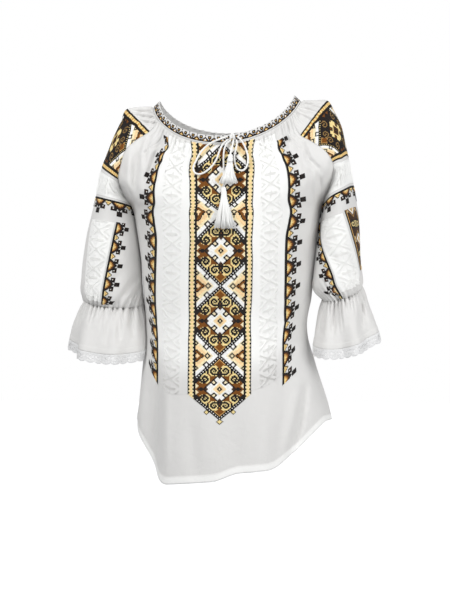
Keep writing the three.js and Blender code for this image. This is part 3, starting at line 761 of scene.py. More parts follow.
# One half of a triangle, from its middle row to the row between two triangles. The first
# letter of every row is the black line that the triangles stand on.
ZIGZAG_HALF = (
    "KKLLGBDKKKKKKKK",
    "KKLGGBDKK KKKKK",
    "KKLGBDKK  KKDKK",
    "KKGGBDKKKK     ",
    "KKGBDKKKKK     ",
    "KKBDKKKKKK     ",
    "KKDKK KWDK     ",
    "KKKK  KDDK     ",
    "KKK   KKKK     ",
    "KKLK           ",
    "KKLGK          ",
    "KKLGLK         ",
)


def zigzag_cell(phase):
    def cell(row, column):
        step = abs((row - phase + 11) % ZIGZAG_PERIOD - 11)
        return ZIGZAG_HALF[step][column]
    return cell


WHITE_PERIOD = 20


def white_motif(across, row, half):
    """Whether a cell is in the relief: crosses between bars, with chevrons at their sides."""
    y = abs(row % WHITE_PERIOD - WHITE_PERIOD / 2)
    if y >= 8.5:
        return across <= 0.55 * half and y >= 9
    beyond = across - 1.15 * y
    if across < half - 1 and (abs(beyond) < 1.3 or abs(beyond - 5.4) < 0.8):
        return True
    return y - across > 5.2 and across < 1


def white_cell(columns, half):
    """Raised stitches, W, on a ground of flat ones, C."""
    def cell(row, column):
        across = abs(column - (columns - 1) / 2)
        return "W" if across <= half and white_motif(across, row, half) else "C"
    return cell


BAND_PERIOD, BAND_REPEATS = 16, 26
BORDER_FOOT, BORDER_STEP = 12.7, 1.75  # place of its lowest edge and height of a row
# The neckband's border: the first row is the black line, and the others go up from it
BAND_CHART = (
    "KKKKKKKKKKKKKKKK",
    "KDGLGDKKKDGWGDKK",
    " KDGDK K KDWDK K",
    "K KDK KKK KDK KK",
    "K  K  KGK  K  KG",
    "K     KKK     KK",
    "   K       K    ",
)

COLUMN_HALF = 13


def column_cell(row, column):
    """The coloured column down the outside of a sleeve."""
    across = abs(column - COLUMN_HALF)
    y = abs((row + 17) % 34 - 17)
    if across >= 10:
        return "G" if across == 11 else "K"
    distance = across + y
    if distance <= 7:
        return "K" if distance in (7, 2) else "P" if distance <= 4 else "W"
    marks = horn(5.2 - across, 17 - y, "L", "K")
    if marks != " ":
        return marks
    return "G" if distance == 9 else "C" if across == 9 and y < 4 else "D"


# ---- Stitches ----

STITCH_FOOT = 0.34  # height of a stitch's edges above the cloth
STITCH_TOP, RELIEF_TOP, GROUND_TOP = 0.6, 1.7, 0.5  # heights of the middles of stitches


def stitch_piece(name, cloth, places, columns, chart, rise, settings, material, fade=None):
    """A raised stitch on every charted cell of a lattice that lies on the cloth.

    White work has a fade for every row, from the bright thread, 0, to the plain cotton, 1.
    """
    points, normals = cloth.sample(places, columns)
    filled = chart != EMPTY
    rows, cols = filled.shape
    used = np.zeros((rows + 1, cols + 1), bool)
    for down in (0, 1):
        for along in (0, 1):
            used[down:down + rows, along:along + cols] |= filled
    corners = points + normals * STITCH_FOOT
    flat = (points[:-1, :-1] + points[1:, :-1] + points[:-1, 1:] + points[1:, 1:]) / 4
    facing = (normals[:-1, :-1] + normals[1:, 1:]) / 2
    row, col = np.nonzero(filled)
    lift = np.where(chart[row, col] == paint("C"), GROUND_TOP, rise)[:, None]
    tops = flat[row, col] + facing[row, col] * lift
    number = np.full(used.shape, -1)
    number[used] = np.arange(np.count_nonzero(used))
    ring = ((0, 0), (0, 1), (1, 1), (1, 0))  # steps along and down to a cell's corners
    top = np.arange(len(row)) + np.count_nonzero(used)
    base = np.stack([col, -row], -1).astype(float)
    faces, uv = [], []
    for k in range(4):
        pair = [ring[k], ring[(k + 1) % 4]][::cloth.sense]
        foot = [number[row + down, col + along] for along, down in pair]
        faces.append(np.stack(foot + [top], -1))
        spot = [base + (along, -down) for along, down in pair]
        uv.append(np.stack(spot + [base + (0.5, -0.5)], 1))
    faces = np.stack(faces, 1).reshape(-1, 3)
    uv = np.stack(uv, 1).reshape(-1, 2)
    vertices = np.concatenate([corners[used], tops])
    mesh = mesh_from(name, vertices, faces, uv, smooth=False)
    draw = np.random.default_rng(len(row))
    shade = draw.uniform(0.88, 1.1, (len(row), 1))
    if fade is None:
        colours = np.array([settings_colour(settings, letter) for letter in THREADS])
        tone = np.clip(colours[chart[row, col]] * shade, 0, 1)
    else:
        bright, plain = np.array(settings.relief[:]), np.array(settings.colour[:])
        tone = mix(bright, plain, fade[row][:, None])
    tone = np.concatenate([tone, np.ones((len(row), 1))], 1)
    layer = mesh.color_attributes.new(name="thread", type="FLOAT_COLOR", domain="CORNER")
    tone = np.repeat(tone, 12, axis=0)  # for the corners of the four triangles of a stitch
    layer.data.foreach_set("color", tone.astype(np.float32).ravel())
    mesh.materials.append(material)
    return new_object(name, mesh)


# ---- Folds ----

# Folds drawn one by one: a line of x and z in millimetres, half its width and its height
FRONT_CREASES = (
    (((-183, -143), (-172, -157), (-160, -180), (-156, -206)), 6.5, -11.0),
    (((-175, -130), (-162, -148), (-148, -176)), 7, 4.0),
    (((-160, -84), (-161, -122), (-159, -150)), 8, 5.0),
    (((-151, -86), (-152, -130), (-150, -174)), 5.5, -8.5),
    (((-139, -60), (-146, -96), (-144, -140)), 3.6, -5.0),
    (((-125, -56), (-131, -84), (-133, -116)), 3.2, -4.5),
    (((108, -52), (113, -80), (114, -112)), 3.2, -4.5),
    (((120, -56), (128, -84), (134, -112)), 3.4, -5.0),
    (((-103, -62), (-117, -104), (-131, -150)), 6, -10.0),
    (((-97, -70), (-104, -116), (-110, -150)), 6, 2.4),
    (((-143, -190), (-140, -225), (-143, -262)), 10, -3.0),
    (((130, -66), (137, -84), (145, -106), (157, -118), (167, -128)), 4.6, -8.5),
    (((163, -122), (165, -157), (161, -205)), 4.4, -8.0),
    (((150, -120), (152, -150), (150, -180)), 6, -4.0),
    (((158, -118), (158, -150), (156, -185)), 5, 3.0),
    (((176, -88), (181, -150)), 8, 4.0),
    (((118, -76), (130, -120), (138, -160)), 7, -4.5),
    (((138, -190), (139, -235), (134, -280)), 10, -3.0),
    (((-112, -440), (-112, -540), (-110, -625)), 8, -7.5),
    (((-94, -470), (-93, -560), (-92, -632)), 9, 3.2),
    (((-136, -420), (-134, -480), (-140, -540)), 9, 2.6),
    (((144, -480), (132, -550), (114, -622)), 6.5, -8.0),
    (((128, -490), (115, -560), (99, -625)), 8, 3.2),
    (((150, -430), (146, -480), (150, -530)), 9, 2.8),
    (((62, -520), (58, -580), (50, -640)), 12, -2.2),
    (((-44, -540), (-46, -590), (-40, -640)), 11, -2.2),
    (((-128, -300), (-126, -340), (-132, -385)), 9, -2.6),
    (((126, -300), (128, -345), (133, -388)), 9, -2.8),
)
BACK_CREASES = (
    (((-172, -130), (-160, -160), (-150, -190)), 7, -4.6),
    (((-118, -66), (-126, -110), (-132, -160)), 9, -3.0),
    (((-84, -90), (-88, -150), (-96, -215)), 11, -2.6),
    (((-40, -90), (-44, -160), (-52, -230)), 12, 2.2),
    (((12, -84), (8, -140), (10, -215)), 10, -2.4),
    (((64, -88), (72, -150), (78, -205)), 11, 2.4),
    (((118, -70), (128, -112), (140, -160)), 8, -3.4),
    (((158, -128), (156, -170), (150, -205)), 7, -4.4),
    (((-106, -320), (-98, -400), (-108, -520)), 12, -4.2),
    (((-70, -470), (-66, -560), (-74, -640)), 11, 3.2),
    (((-18, -380), (-14, -470), (-22, -610)), 13, -4.0),
    (((46, -430), (50, -540), (44, -640)), 12, 3.2),
    (((84, -340), (88, -430), (98, -560)), 11, -4.4),
    (((128, -460), (138, -540), (134, -580)), 9, -3.0),
    (((-134, -440), (-136, -500), (-140, -560)), 9, 2.8),
)
# Folds of the sleeves and ruffles, the same on the front and the back
LEFT_CREASES = (
    (((-168, -170), (-158, -222), (-155, -278), (-154, -325)), 10, -6.5),
    (((-150, -290), (-166, -318), (-182, -348)), 4.5, -5.0),
    (((-150, -312), (-160, -330), (-170, -350)), 4, -4.5),
    (((-196, -268), (-214, -292), (-232, -322)), 7, -3.2),
    (((-178, -296), (-196, -318), (-208, -340)), 6, -2.8),
    (((-236, -236), (-230, -262), (-232, -300)), 9, 1.8),
    (((-186, -200), (-190, -240), (-186, -282)), 9, -2.2),
    (((-224, -290), (-238, -312), (-246, -334)), 6, -2.4),
    (((-186, -350), (-184, -385), (-182, -418)), 4.5, -7.0),
    (((-170, -350), (-167, -380), (-162, -410)), 4, -7.5),
    (((-154, -350), (-152, -378), (-148, -406)), 4, -6.5),
    (((-194, -354), (-198, -390), (-204, -426)), 6, -5.0),
    (((-166, -13), (-142, -18), (-120, -19)), 2.8, -6.5),
    (((-161, -22), (-140, -27), (-119, -29)), 2.8, -7.5),
    (((-152, -33), (-136, -38), (-118, -40)), 2.8, -7.0),
)
RIGHT_CREASES = (
    (((178, -258), (194, -282), (212, -310)), 7, -3.0),
    (((170, -286), (180, -304), (192, -326)), 6, -2.6),
    (((214, -214), (208, -250), (210, -280)), 9, 1.8),
    (((172, -196), (174, -232), (170, -268)), 8, -2.2),
    (((206, -268), (218, -290), (226, -312)), 6, -2.2),
    (((172, -350), (167, -382), (163, -412)), 5, -6.5),
    (((194, -345), (189, -377), (185, -410)), 5, -8.5),
    (((205, -345), (205, -370), (203, -395)), 5, 3.0),
    (((133, -4), (150, -10), (168, -18)), 2.8, -7.0),
    (((134, -14), (148, -19), (162, -25)), 2.8, -7.0),
    (((128, -25), (140, -32), (152, -41)), 3.0, -6.5),
    (((236, -338), (235, -368), (234, -400)), 4.5, -6.5),
)
# Spacing, reach and depth of the pleats on both sides of the elbow seam
ELBOW_PLEATS = (7.6, 58, 5.2)
ELBOW_SPAN, NECK_SPAN, SHOULDER_SPAN = 150, 118, 62  # half the length of each gathered edge
HEM_AT, RUFFLE_HEM_AT = 16.75, 2.62  # places where the turned-up hems start
HEM_STEP = 0.03  # how far along the places the step onto a hem takes
TOUCH = 0.4  # gap left between an arm and the body that it leans on


def drape(cloth, creases, side):
    """Draws folds on the side of the cloth that faces the front, -1, or the back, 1."""
    x, y, z = np.moveaxis(cloth.points, 2, 0)
    facing = ease(side * y / 34.0)
    moved = np.zeros(x.shape)
    for line, half_width, height in creases:
        share = np.linspace(0, 1, len(line))
        fine = np.linspace(0, 1, 25)
        path_x = np.interp(fine, share, [p[0] for p in line])
        path_z = np.interp(fine, share, [p[1] for p in line])
        best, along = np.full(x.shape, 1e9), np.zeros(x.shape)
        for k in range(len(fine) - 1):
            step_x, step_z = path_x[k + 1] - path_x[k], path_z[k + 1] - path_z[k]
            t = (x - path_x[k]) * step_x + (z - path_z[k]) * step_z
            t = np.clip(t / (step_x ** 2 + step_z ** 2), 0, 1)
            gap = (x - path_x[k] - t * step_x) ** 2 + (z - path_z[k] - t * step_z) ** 2
            near = gap < best
            best[near], along[near] = gap[near], (fine[k] + t * (fine[1] - fine[0]))[near]
        taper = np.clip(np.sin(math.pi * np.clip(along, 0.04, 0.96)), 0, 1) ** 0.7
        moved += height * taper * np.exp(-best / half_width ** 2)
    cloth.points = cloth.points + np.stack([0 * x, side * moved * facing, 0 * x], -1)
    cloth.measure()


def drape_arm(cloth, left, from_row):
    """Draws an arm's own folds on both faces, and leans it on the body."""
    for side in (-1, 1):
        drape(cloth, for_side(left, LEFT_CREASES, RIGHT_CREASES), side)
    cloth.points = lean_on_body(cloth.points, cloth.columns, left, from_row)
    cloth.measure()


def lean_on_body(points, columns, left, from_row):
    """Moves the inner side of an arm piece across until it just touches the body."""
    side = -1 if left else 1
    x, y, z = np.moveaxis(points, 2, 0)
    reach = np.abs(at_height(1 if left else 2, z))
    face = np.abs(np.where(y < 0, at_height(3, z), at_height(4, z)))
    free = side * x - reach * np.sqrt(np.clip(1 - (y / face) ** 2, 0, 1)) - TOUCH
    room = np.clip(free.min(axis=1, keepdims=True), 0, None)
    room[:from_row] = 0
    if not left:
        room *= ease((z.mean(axis=1, keepdims=True) + 328) / 26)
    share = ease((np.abs(columns) - 0.42) / 0.5)[None, :]
    moved = points.copy()
    moved[..., 0] -= side * room * share
    return moved


def seam_dip(columns, span):
    """A groove along the two side edges of a panel that is span millimetres to each side."""
    return 0.5 * np.exp(-(((1 - np.abs(columns)) * span / 2.2) ** 2))[None, :]


def hem_step(cloth, hem_at):
    """0 above a turned-up hem and 1 on it."""
    return ease((cloth.places - hem_at + HEM_STEP / 2) / HEM_STEP)[:, None]


def elbow_gathers(along, distance, left, settings):
    """The pleats of the elbow seam, the same ones on the sleeve and on the ruffle."""
    draws = 33 if left else 34
    return gathers(along, distance, *ELBOW_PLEATS, draws, (-146, 146)) * settings.gather


def body_form(front, settings):
    """The front or back, gathered into the neckband and hung in soft folds."""
    places = np.concatenate([
        np.linspace(0, UNDERARM_ROW, 73), np.linspace(UNDERARM_ROW, 16.7, 100)[1:],
        [16.735, 16.765, 16.82, 16.88, 16.94, 17],
    ])
    columns = np.linspace(-1, 1, 181)
    cloth = Cloth(body_grid(front, places, columns), places, columns, 1 if front else -1)
    along = np.broadcast_to(columns * NECK_SPAN, cloth.across.shape)
    inside = near_edges(columns, 0.05)[None, :]
    calm = 1 - (0.72 * np.exp(-((columns / 0.4) ** 8)) if front else 0.0)
    depth = gathers(along, cloth.down, 6.0, 92, 3.5 * settings.gather, 11 if front else 12,
                    (-NECK_SPAN, NECK_SPAN))
    depth = depth * ease(cloth.down / 7) * calm
    depth += drift(cloth, 105, 3.2, 21 if front else 22) * ease((cloth.down - 60) / 120)
    depth *= inside
    depth -= seam_dip(columns, NECK_SPAN)
    depth += 0.6 * hem_step(cloth, HEM_AT)
    cloth.push(depth)
    drape(cloth, FRONT_CREASES if front else BACK_CREASES, -1 if front else 1)
    if front:
        x, _, z = np.moveaxis(cloth.points, 2, 0)
        swing = ease((x + 14) / 50) * ease((104 - x) / 44) * ease((-520 - z) / 125)
        cloth.points[..., 2] += 11 * swing
        cloth.measure()
    return cloth


def sleeve_form(left, settings):
    """A raglan sleeve, gathered at the neckband and again at the elbow."""
    places = np.concatenate([
        np.linspace(0, UNDERARM_ROW, 80), np.linspace(UNDERARM_ROW, 14, 66)[1:],
    ])
    columns = np.linspace(-1, 1, 145)
    grid = sleeve_grid(for_side(left, LEFT_SLEEVE, RIGHT_SLEEVE), places, columns)
    cloth = Cloth(grid, places, columns, for_side(left, -1, 1), UNDERARM_ROW)
    inside = near_edges(columns, 0.08)[None, :]
    along = np.broadcast_to(columns * SHOULDER_SPAN, cloth.across.shape)
    depth = gathers(along, cloth.down, 5.2, 78, 4.8 * settings.gather, 31 if left else 32,
                    (-SHOULDER_SPAN, SHOULDER_SPAN))
    depth *= ease(cloth.down / 6)
    rest = cloth.down[-1] - cloth.down
    round_elbow = np.broadcast_to(columns * ELBOW_SPAN, cloth.across.shape)
    spread = round_elbow * (1 - 0.3 * np.clip(rest / 60, 0, 1))
    elbow = elbow_gathers(spread, rest, left, settings)
    depth += drift(cloth, 80, 2.6, 35 if left else 36) * ease((cloth.down - 60) / 80)
    depth = (depth * ease(rest / 8) + elbow - 1.2 * np.exp(-((rest / 6) ** 2))) * inside
    depth -= 1.3 * np.exp(-((rest / 2.5) ** 2))
    open_part = (cloth.places < UNDERARM_ROW)[:, None]
    depth -= seam_dip(columns, 90) * open_part
    cloth.push(depth)
    drape(cloth, FRONT_CREASES, -1)
    drape(cloth, BACK_CREASES, 1)
    drape_arm(cloth, left, cloth.closed_row)
    return cloth


def ruffle_base(left):
    return for_side(left, (LEFT_RUFFLE, LEFT_PHASE), (RIGHT_RUFFLE, RIGHT_PHASE))


def ruffle_form(left, settings):
    """A ruffle, which starts a little above the elbow seam so that the seam stays covered."""
    places = np.concatenate([np.linspace(0, 2.6, 29), [2.605, 2.635, 2.7, 2.8, 2.9, 3]])
    columns = np.linspace(-1, 1, 201)
    grid = ruffle_grid(*ruffle_base(left), places, columns)
    cloth = Cloth(grid, places, columns, for_side(left, -1, 1), 0)
    along = np.broadcast_to(columns * ELBOW_SPAN, cloth.across.shape)
    depth = elbow_gathers(along, cloth.down, left, settings)
    depth = (depth - 1.2 * np.exp(-((cloth.down / 6) ** 2))) * near_edges(columns, 0.08)[None, :]
    depth += 0.5 * hem_step(cloth, RUFFLE_HEM_AT)
    cloth.push(depth)
    up = cloth.points[0] - cloth.points[1]
    cloth.points[0] += 2.2 * up / np.linalg.norm(up, axis=1, keepdims=True)
    drape_arm(cloth, left, 0)
    return cloth


def band_form():
    """The neckband, from its frilled top down to its foot."""
    places = np.concatenate([
        [0, 0.7, 1.4, 2.2], np.linspace(3, 12, 7), [BORDER_FOOT, 13.1, 13.8, 14.5, 15],
    ])
    columns = np.linspace(-1, 1, 421)
    points = band_grid(BAND_WIDTH - places, columns * 180)
    cloth = Cloth(points, places, columns, 1, 0)
    wave = np.sin(columns * 62 * math.pi) + 0.4 * np.sin(columns * 27 * math.pi)
    frill = np.clip(1 - places / 3, 0, 1)[:, None] * wave[None, :]
    piping = np.exp(-((((places - 13.8) / 0.9)) ** 2))[:, None]
    cloth.push(1.1 * frill + 0.9 * piping)
    return cloth


# ---- Lace ----

# One scallop of the edging: a quad for every mark, from the ruffle's hem down
LACE_REPEAT = (
    "##############",
    "##############",
    "##############",
    "##..######..##",
    "#.##.####.##.#",
    "##..##..##..##",
    "#####.##.#####",
    "######..######",
    "##.########.##",
    "#.###.##.###.#",
    "##.########.##",
    "##############",
    "##############",
)
SCALLOPS = 29


def lace_piece(name, left, settings, material):
    """The lace edging: a net of scallops that get shorter between one another."""
    rows, wide = len(LACE_REPEAT), len(LACE_REPEAT[0])
    count = SCALLOPS * wide
    columns = np.linspace(-1, 1, count + 1)
    drops = np.linspace(0, LACE_DROP, rows + 1)
    grid = lean_on_body(lace_grid(*ruffle_base(left), drops, columns), columns, left, 0)
    sense = for_side(left, -1, 1)
    normals = outward(grid, sense, 0)
    scallop = np.abs(np.sin(np.pi * np.arange(count + 1) / wide)) ** 0.6
    short = 3.2 * (1 - scallop)[None, :] * (drops / LACE_DROP)[:, None] ** 2
    grid[..., 2] += short
    grid += normals * 0.35
    cells = np.array([[mark == "#" for mark in LACE_REPEAT[r] * SCALLOPS] for r in range(rows)])
    faces = grid_faces(rows + 1, count + 1, sense)
    flat = np.stack(np.broadcast_arrays(columns[None, :] * 230, -drops[:, None]), -1)
    flat = flat.reshape(-1, 2)
    piece = piece_from(name, grid.reshape(-1, 3), faces[cells.ravel()], flat * MM, material)
    with opened(piece.data) as work:
        weld(work)
        loose = [v for v in work.verts if not v.link_faces]
        bmesh.ops.delete(work, geom=loose, context="VERTS")
    add_wall(piece, settings.lace_wall, 0.0)
    return piece


# ---- Cord and tassels ----

# Where the two ends run on inside the heads of their tassels
LONG_TAIL = ((6.7, -164), (7.2, -173))
SHORT_TAIL = ((17.4, -107, 8), (17.0, -112, 8))
CORD_CORNERS, KNOT_CORNERS, KNOT_STEPS, WINDING_STEPS = 18, 15, 50, 150
STRANDS = (3, 0.26)  # how many, and the depth of the grooves between them
GOLDEN_ANGLE = 2.39996
# How far down a tassel's threads bend, in millimetres
THREAD_BENDS = (0.8, 3, 6, 8, 10.5, 14, 20, 28, 38, 48, 58, 70)


def smooth_path(points, step):
    """A smooth line through points, with its own points about step apart."""
    points = np.array(points, float)
    ends = np.vstack([2 * points[0] - points[1], points, 2 * points[-1] - points[-2]])
    fine = []
    for k in range(1, len(ends) - 2):
        a, b, c, d = ends[k - 1], ends[k], ends[k + 1], ends[k + 2]
        for t in np.linspace(0, 1, 24, endpoint=False):
            fine.append(0.5 * (2 * b + (c - a) * t + (2 * a - 5 * b + 4 * c - d) * t * t
                               + (3 * b - a - 3 * c + d) * t ** 3))
    fine.append(points[-1])
    fine = np.array(fine)
    run = run_along(fine)
    want = np.linspace(0, run[-1], max(int(round(run[-1] / step)), 3) + 1)
    return np.stack([np.interp(want, run, fine[:, k]) for k in range(3)], -1)


def sides_along(path, first):
    """Two side directions at every point of a path, turned as little as possible."""
    along = unit(np.gradient(path, axis=0))
    side = np.array(first, float)
    sides = []
    for way in along:
        side = side - way * side.dot(way)
        side /= np.linalg.norm(side)
        sides.append(side)
    sides = np.array(sides)
    return sides, np.cross(along, sides)


def tube(path, radii, corners, twist=None, lobes=0, hollow=0.0):
    """Points and quads of a closed tube along a path. lobes and hollow give its strands."""
    sides, others = sides_along(path, (0, 1, 0))
    angle = np.linspace(0, 2 * math.pi, corners, endpoint=False)
    turn = np.zeros(len(path)) if twist is None else twist
    swell = 1 - hollow + hollow * np.abs(np.cos(lobes / 2 * (angle[None, :] - turn[:, None])))
    reach = np.asarray(radii)[:, None] * (swell if lobes else 1.0)
    ring = (path[:, None] + sides[:, None] * (reach * np.cos(angle))[..., None]
            + others[:, None] * (reach * np.sin(angle))[..., None])
    points = ring.reshape(-1, 3)
    index = np.arange(len(points)).reshape(len(path), corners)
    after = np.roll(index, -1, axis=1)
    quads = np.stack([index[:-1], after[:-1], after[1:], index[1:]], -1).reshape(-1, 4)
    return points, quads


def shut_tubes(piece):
    """Caps the open ends of tubes and turns all faces out."""
    with opened(piece.data) as work:
        bmesh.ops.holes_fill(work, edges=[e for e in work.edges if e.is_boundary], sides=0)
        bmesh.ops.recalc_face_normals(work, faces=work.faces)


def cord_piece(name, points, settings, material):
    """A rope of twisted strands along a smooth route. Returns it with its middle line."""
    path = smooth_path(points, 0.9)
    run = run_along(path)
    twist = 2 * math.pi * run / (settings.twist / MM)
    radii = np.full(len(path), settings.diameter / MM / 2)
    ring, quads = tube(path, radii, CORD_CORNERS, twist, *STRANDS)
    around = np.arange(len(ring)) % CORD_CORNERS / CORD_CORNERS
    flat = np.stack([np.repeat(run, CORD_CORNERS) * MM, around * 0.01], -1)
    piece = piece_from(name, ring, quads, flat, material)
    shut_tubes(piece)
    return piece, path * MM, float(run[-1]) * MM


def tassel_threads(name, place, settings, seed, material):
    """The threads of a tassel, loose and uneven, hung from its head."""
    top_x, top_z, length, skirt, lean, out = place
    draw = random.Random(seed)
    neck, neck_drop = TASSEL_PROFILE[-1]
    profile = (*TASSEL_PROFILE, ((neck + skirt) / 2, (neck_drop + length) / 2), (skirt, length))
    radii, drops = zip(*profile)
    points, faces, count = [], [], 0
    for number in range(settings.threads):
        angle = number * GOLDEN_ANGLE
        share = math.sqrt((number + 0.5) / settings.threads)
        wander, sway = draw.uniform(-0.5, 0.5), draw.uniform(-2.2, 2.2)
        end = length * draw.uniform(0.9, 1.0)
        path = []
        for drop in THREAD_BENDS:
            down = drop / THREAD_BENDS[-1] * end if drop > 14 else drop
            reach = np.interp(down, drops, radii) * share * 0.92
            free = max(0, down - 10) / length
            turn = angle + wander * free
            x = top_x + lean * down / length + reach * math.cos(turn) + sway * free * free
            wave = 0.5 * math.sin(down * 0.32 + angle) * free
            y = cord_point(0, top_z - down, out)[1] + TASSEL_FLATTEN * reach * math.sin(turn)
            path.append((x + wave, y + wave * 0.3, top_z - down))
        path = np.array(path)
        wide = np.interp(np.arange(len(path)), [0, 3, len(path) - 1], [0.5, 0.5, 0.62])
        ring, quads = tube(path, wide, 4)
        points.append(ring)
        faces.append(quads + count)
        count += len(ring)
    faces = np.concatenate(faces)
    points = np.concatenate(points)
    flat = points[:, ::2] * MM
    piece = piece_from(name, points, faces, flat, material)
    shut_tubes(piece)
    return piece


@contextmanager
def reshaped(name):
    """The primitive that was just added, in edit mode with all of it selected."""
    piece = bpy.context.object
    bpy.ops.object.mode_set(mode="EDIT")
    bpy.ops.mesh.select_all(action="SELECT")
    yield piece
    bpy.ops.object.mode_set(mode="OBJECT")
    piece.name = piece.data.name = name
    bpy.ops.object.shade_smooth()


def joined(piece, others, material):
    """Joins other pieces into one, in a single material."""
    only(piece)
    for other in others:
        other.select_set(True)
    bpy.ops.object.join()
    piece.data.materials.clear()
    piece.data.materials.append(material)
    return piece


def tassel_head(name, place, material):
    """The bound head of a tassel: a small round core with thread wound about its neck."""
    top_x, top_z, length, _, lean, out = place
    place = (top_x + lean * 4 / length, cord_point(0, top_z - 4, out)[1], top_z - 3.6)
    bpy.ops.mesh.primitive_uv_sphere_add(segments=24, ring_count=14, radius=4.3 * MM,
                                         location=(0, 0, 0))
    with reshaped(name) as piece:
        bpy.ops.transform.resize(value=(1.0, 0.5, 1.05))
        bpy.ops.transform.translate(value=[value * MM for value in place])
    turns = np.linspace(0, 5 * 2 * math.pi, WINDING_STEPS)
    down = np.linspace(7.0, 11.6, WINDING_STEPS)
    path = np.stack([
        top_x + lean * down / length + 4.5 * np.cos(turns),
        cord_point(0, top_z - 9, out)[1] + 2.3 * np.sin(turns),
        top_z - down,
    ], -1)
    ring, quads = tube(path, np.full(WINDING_STEPS, 0.55), 7)
    winding = piece_from(name + "_winding", ring, quads, ring[:, ::2] * MM, material)
    shut_tubes(winding)
    return joined(piece, [winding], material)


def knot_piece(name, settings, material):
    """The knot of the bow: a soft core under two crossing turns of the cord."""
    x, z = KNOT
    y = cord_point(x, z)[1]
    bpy.ops.mesh.primitive_cube_add(size=1, location=(0, 0, 0))
    with reshaped(name) as piece:
        bpy.ops.transform.resize(value=(9.5 * MM, 4.4 * MM, 6.6 * MM))
        bpy.ops.mesh.bevel(offset=1.8 * MM, segments=4)
        bpy.ops.mesh.select_all(action="SELECT")
        bpy.ops.transform.rotate(value=0.2, orient_axis="Y", center_override=(0, 0, 0))
        bpy.ops.transform.translate(value=(x * MM, y * MM, z * MM))
    radius = settings.diameter / MM / 2 * 0.92
    run = np.linspace(0, 24, KNOT_STEPS)
    turns = []
    for number, (tilt, shift, wide) in enumerate(((1.25, -2.4, 4.6), (1.75, 2.2, 4.3))):
        angle = np.linspace(-0.2, 2 * math.pi - 0.15, KNOT_STEPS)
        path = np.stack([
            x + shift + wide * np.sin(angle) * math.cos(tilt),
            y - 2.6 * np.cos(angle),
            z + wide * np.sin(angle) * math.sin(tilt),
        ], -1)
        radii = np.full(KNOT_STEPS, radius)
        ring, quads = tube(path, radii, KNOT_CORNERS, 2 * math.pi * run / 9, *STRANDS)
        around = np.arange(len(ring)) % KNOT_CORNERS
        flat = np.stack([np.repeat(run, KNOT_CORNERS), around * 0.7], -1) * MM
        turns.append(piece_from(f"{name}_{number}", ring, quads, flat, material))
        shut_tubes(turns[-1])
    return joined(piece, turns, material)


# ---- Stitched panels ----

# Edges of the panel down the front, by how far down they lie: place and column at its left
# edge, middle and right edge
CENTRE_KNOTS = np.array((
    (135, -0.65, -0.383, -1.08, 0.018, -0.3, 0.405),
    (141, 0.038, -0.3654, -0.4, 0.0169, 0.378, 0.3877),
    (160, 2.59, -0.3139, 2.279, 0.0144, 2.639, 0.3312),
    (180, 4.519, -0.2603, 4.362, 0.0096, 4.58, 0.2665),
    (219, 8.236, -0.1963, 8.231, 0.0104, 8.254, 0.209),
    (260, 9.563, -0.2241, 9.567, 0.0058, 9.611, 0.2262),
    (297, 10.799, -0.239, 10.813, -0.0015, 10.874, 0.228),
    (340, 12.239, -0.2523, 12.266, -0.0067, 12.346, 0.2284),
    (380, 13.569, -0.2347, 13.608, -0.0038, 13.677, 0.2005),
    (398, 14.166, -0.2252, 14.21, -0.002, 14.276, 0.1909),
    (426, 15.093, -0.2134, 15.146, -0.0002, 15.21, 0.1809),
    (436, 15.42, -0.21, 15.48, 0.0, 15.54, 0.178),
))
# Rows of the chart against the same way down
CENTRE_ROWS_AT = (
    (-8, 136.5), (0, 144.5), (71, 215), (142, 286), (213, 356), (248.5, 389.3), (284, 419.5),
    (296, 429.7),
)
# Straight edges of the zigzags beside the panel: place and column
LEFT_LINE = (
    (0.992, -0.6903), (3.441, -0.5809), (5.394, -0.5611), (8.295, -0.4902), (11.144, -0.5689),
    (12.159, -0.5862), (14.219, -0.548), (14.432, -0.5405),
)
RIGHT_LINE = (
    (1.586, 0.6746), (3.372, 0.5944), (5.022, 0.5523), (8.338, 0.4737), (11.302, 0.5092),
    (12.378, 0.5403), (14.335, 0.4414), (14.59, 0.4306),
)
# Width of the triangles beside those lines, by how far down they lie
LEFT_REACH = ((1, -14), (4, -22), (6, -31), (8, -39), (10, -47), (15, -48))
RIGHT_REACH = ((1, 24), (5, 31), (9, 38), (15, 38))
CELL = 1.65
BLOCK_AROUND, RING_AROUND = 142, 138  # cells round an arm


def edge(table):
    places, columns = np.array(table, float).T
    return lambda place: float(np.interp(place, places, columns))


def between(first, second, share):
    return lambda place: mix(first(place), second(place), share)


def beside(cloth, line, reaches):
    """An edge to the side of a line: reaches are (place, millimetres) pairs."""
    places, reach = np.array(reaches, float).T

    def shifted(place):
        column = line(place)
        near = min(max((column + 1) % 2 - 1, -0.96), 0.96)
        pair = np.array([near - 0.03, near + 0.03])
        low, high = cloth.read(cloth.across, np.full(2, place), pair)
        return column + np.interp(place, places, reach) * 0.06 / (high - low)
    return shifted


def strip(cloth, first, last, step, left, right, count):
    """A lattice down the cloth between two edges, with rows about step millimetres apart."""
    tries = np.linspace(first, last, 300)
    middle = np.array([(left(p) + right(p)) / 2 for p in tries])
    points, _ = cloth.sample(tries, middle)
    run = run_along(points)
    rows = int(round(run[-1] / step))
    places = np.interp(np.linspace(0, run[-1], rows + 1), run, tries)
    share = np.linspace(0, 1, count + 1)
    columns = np.array([mix(left(p), right(p), share) for p in places])
    return np.repeat(places[:, None], count + 1, 1), columns


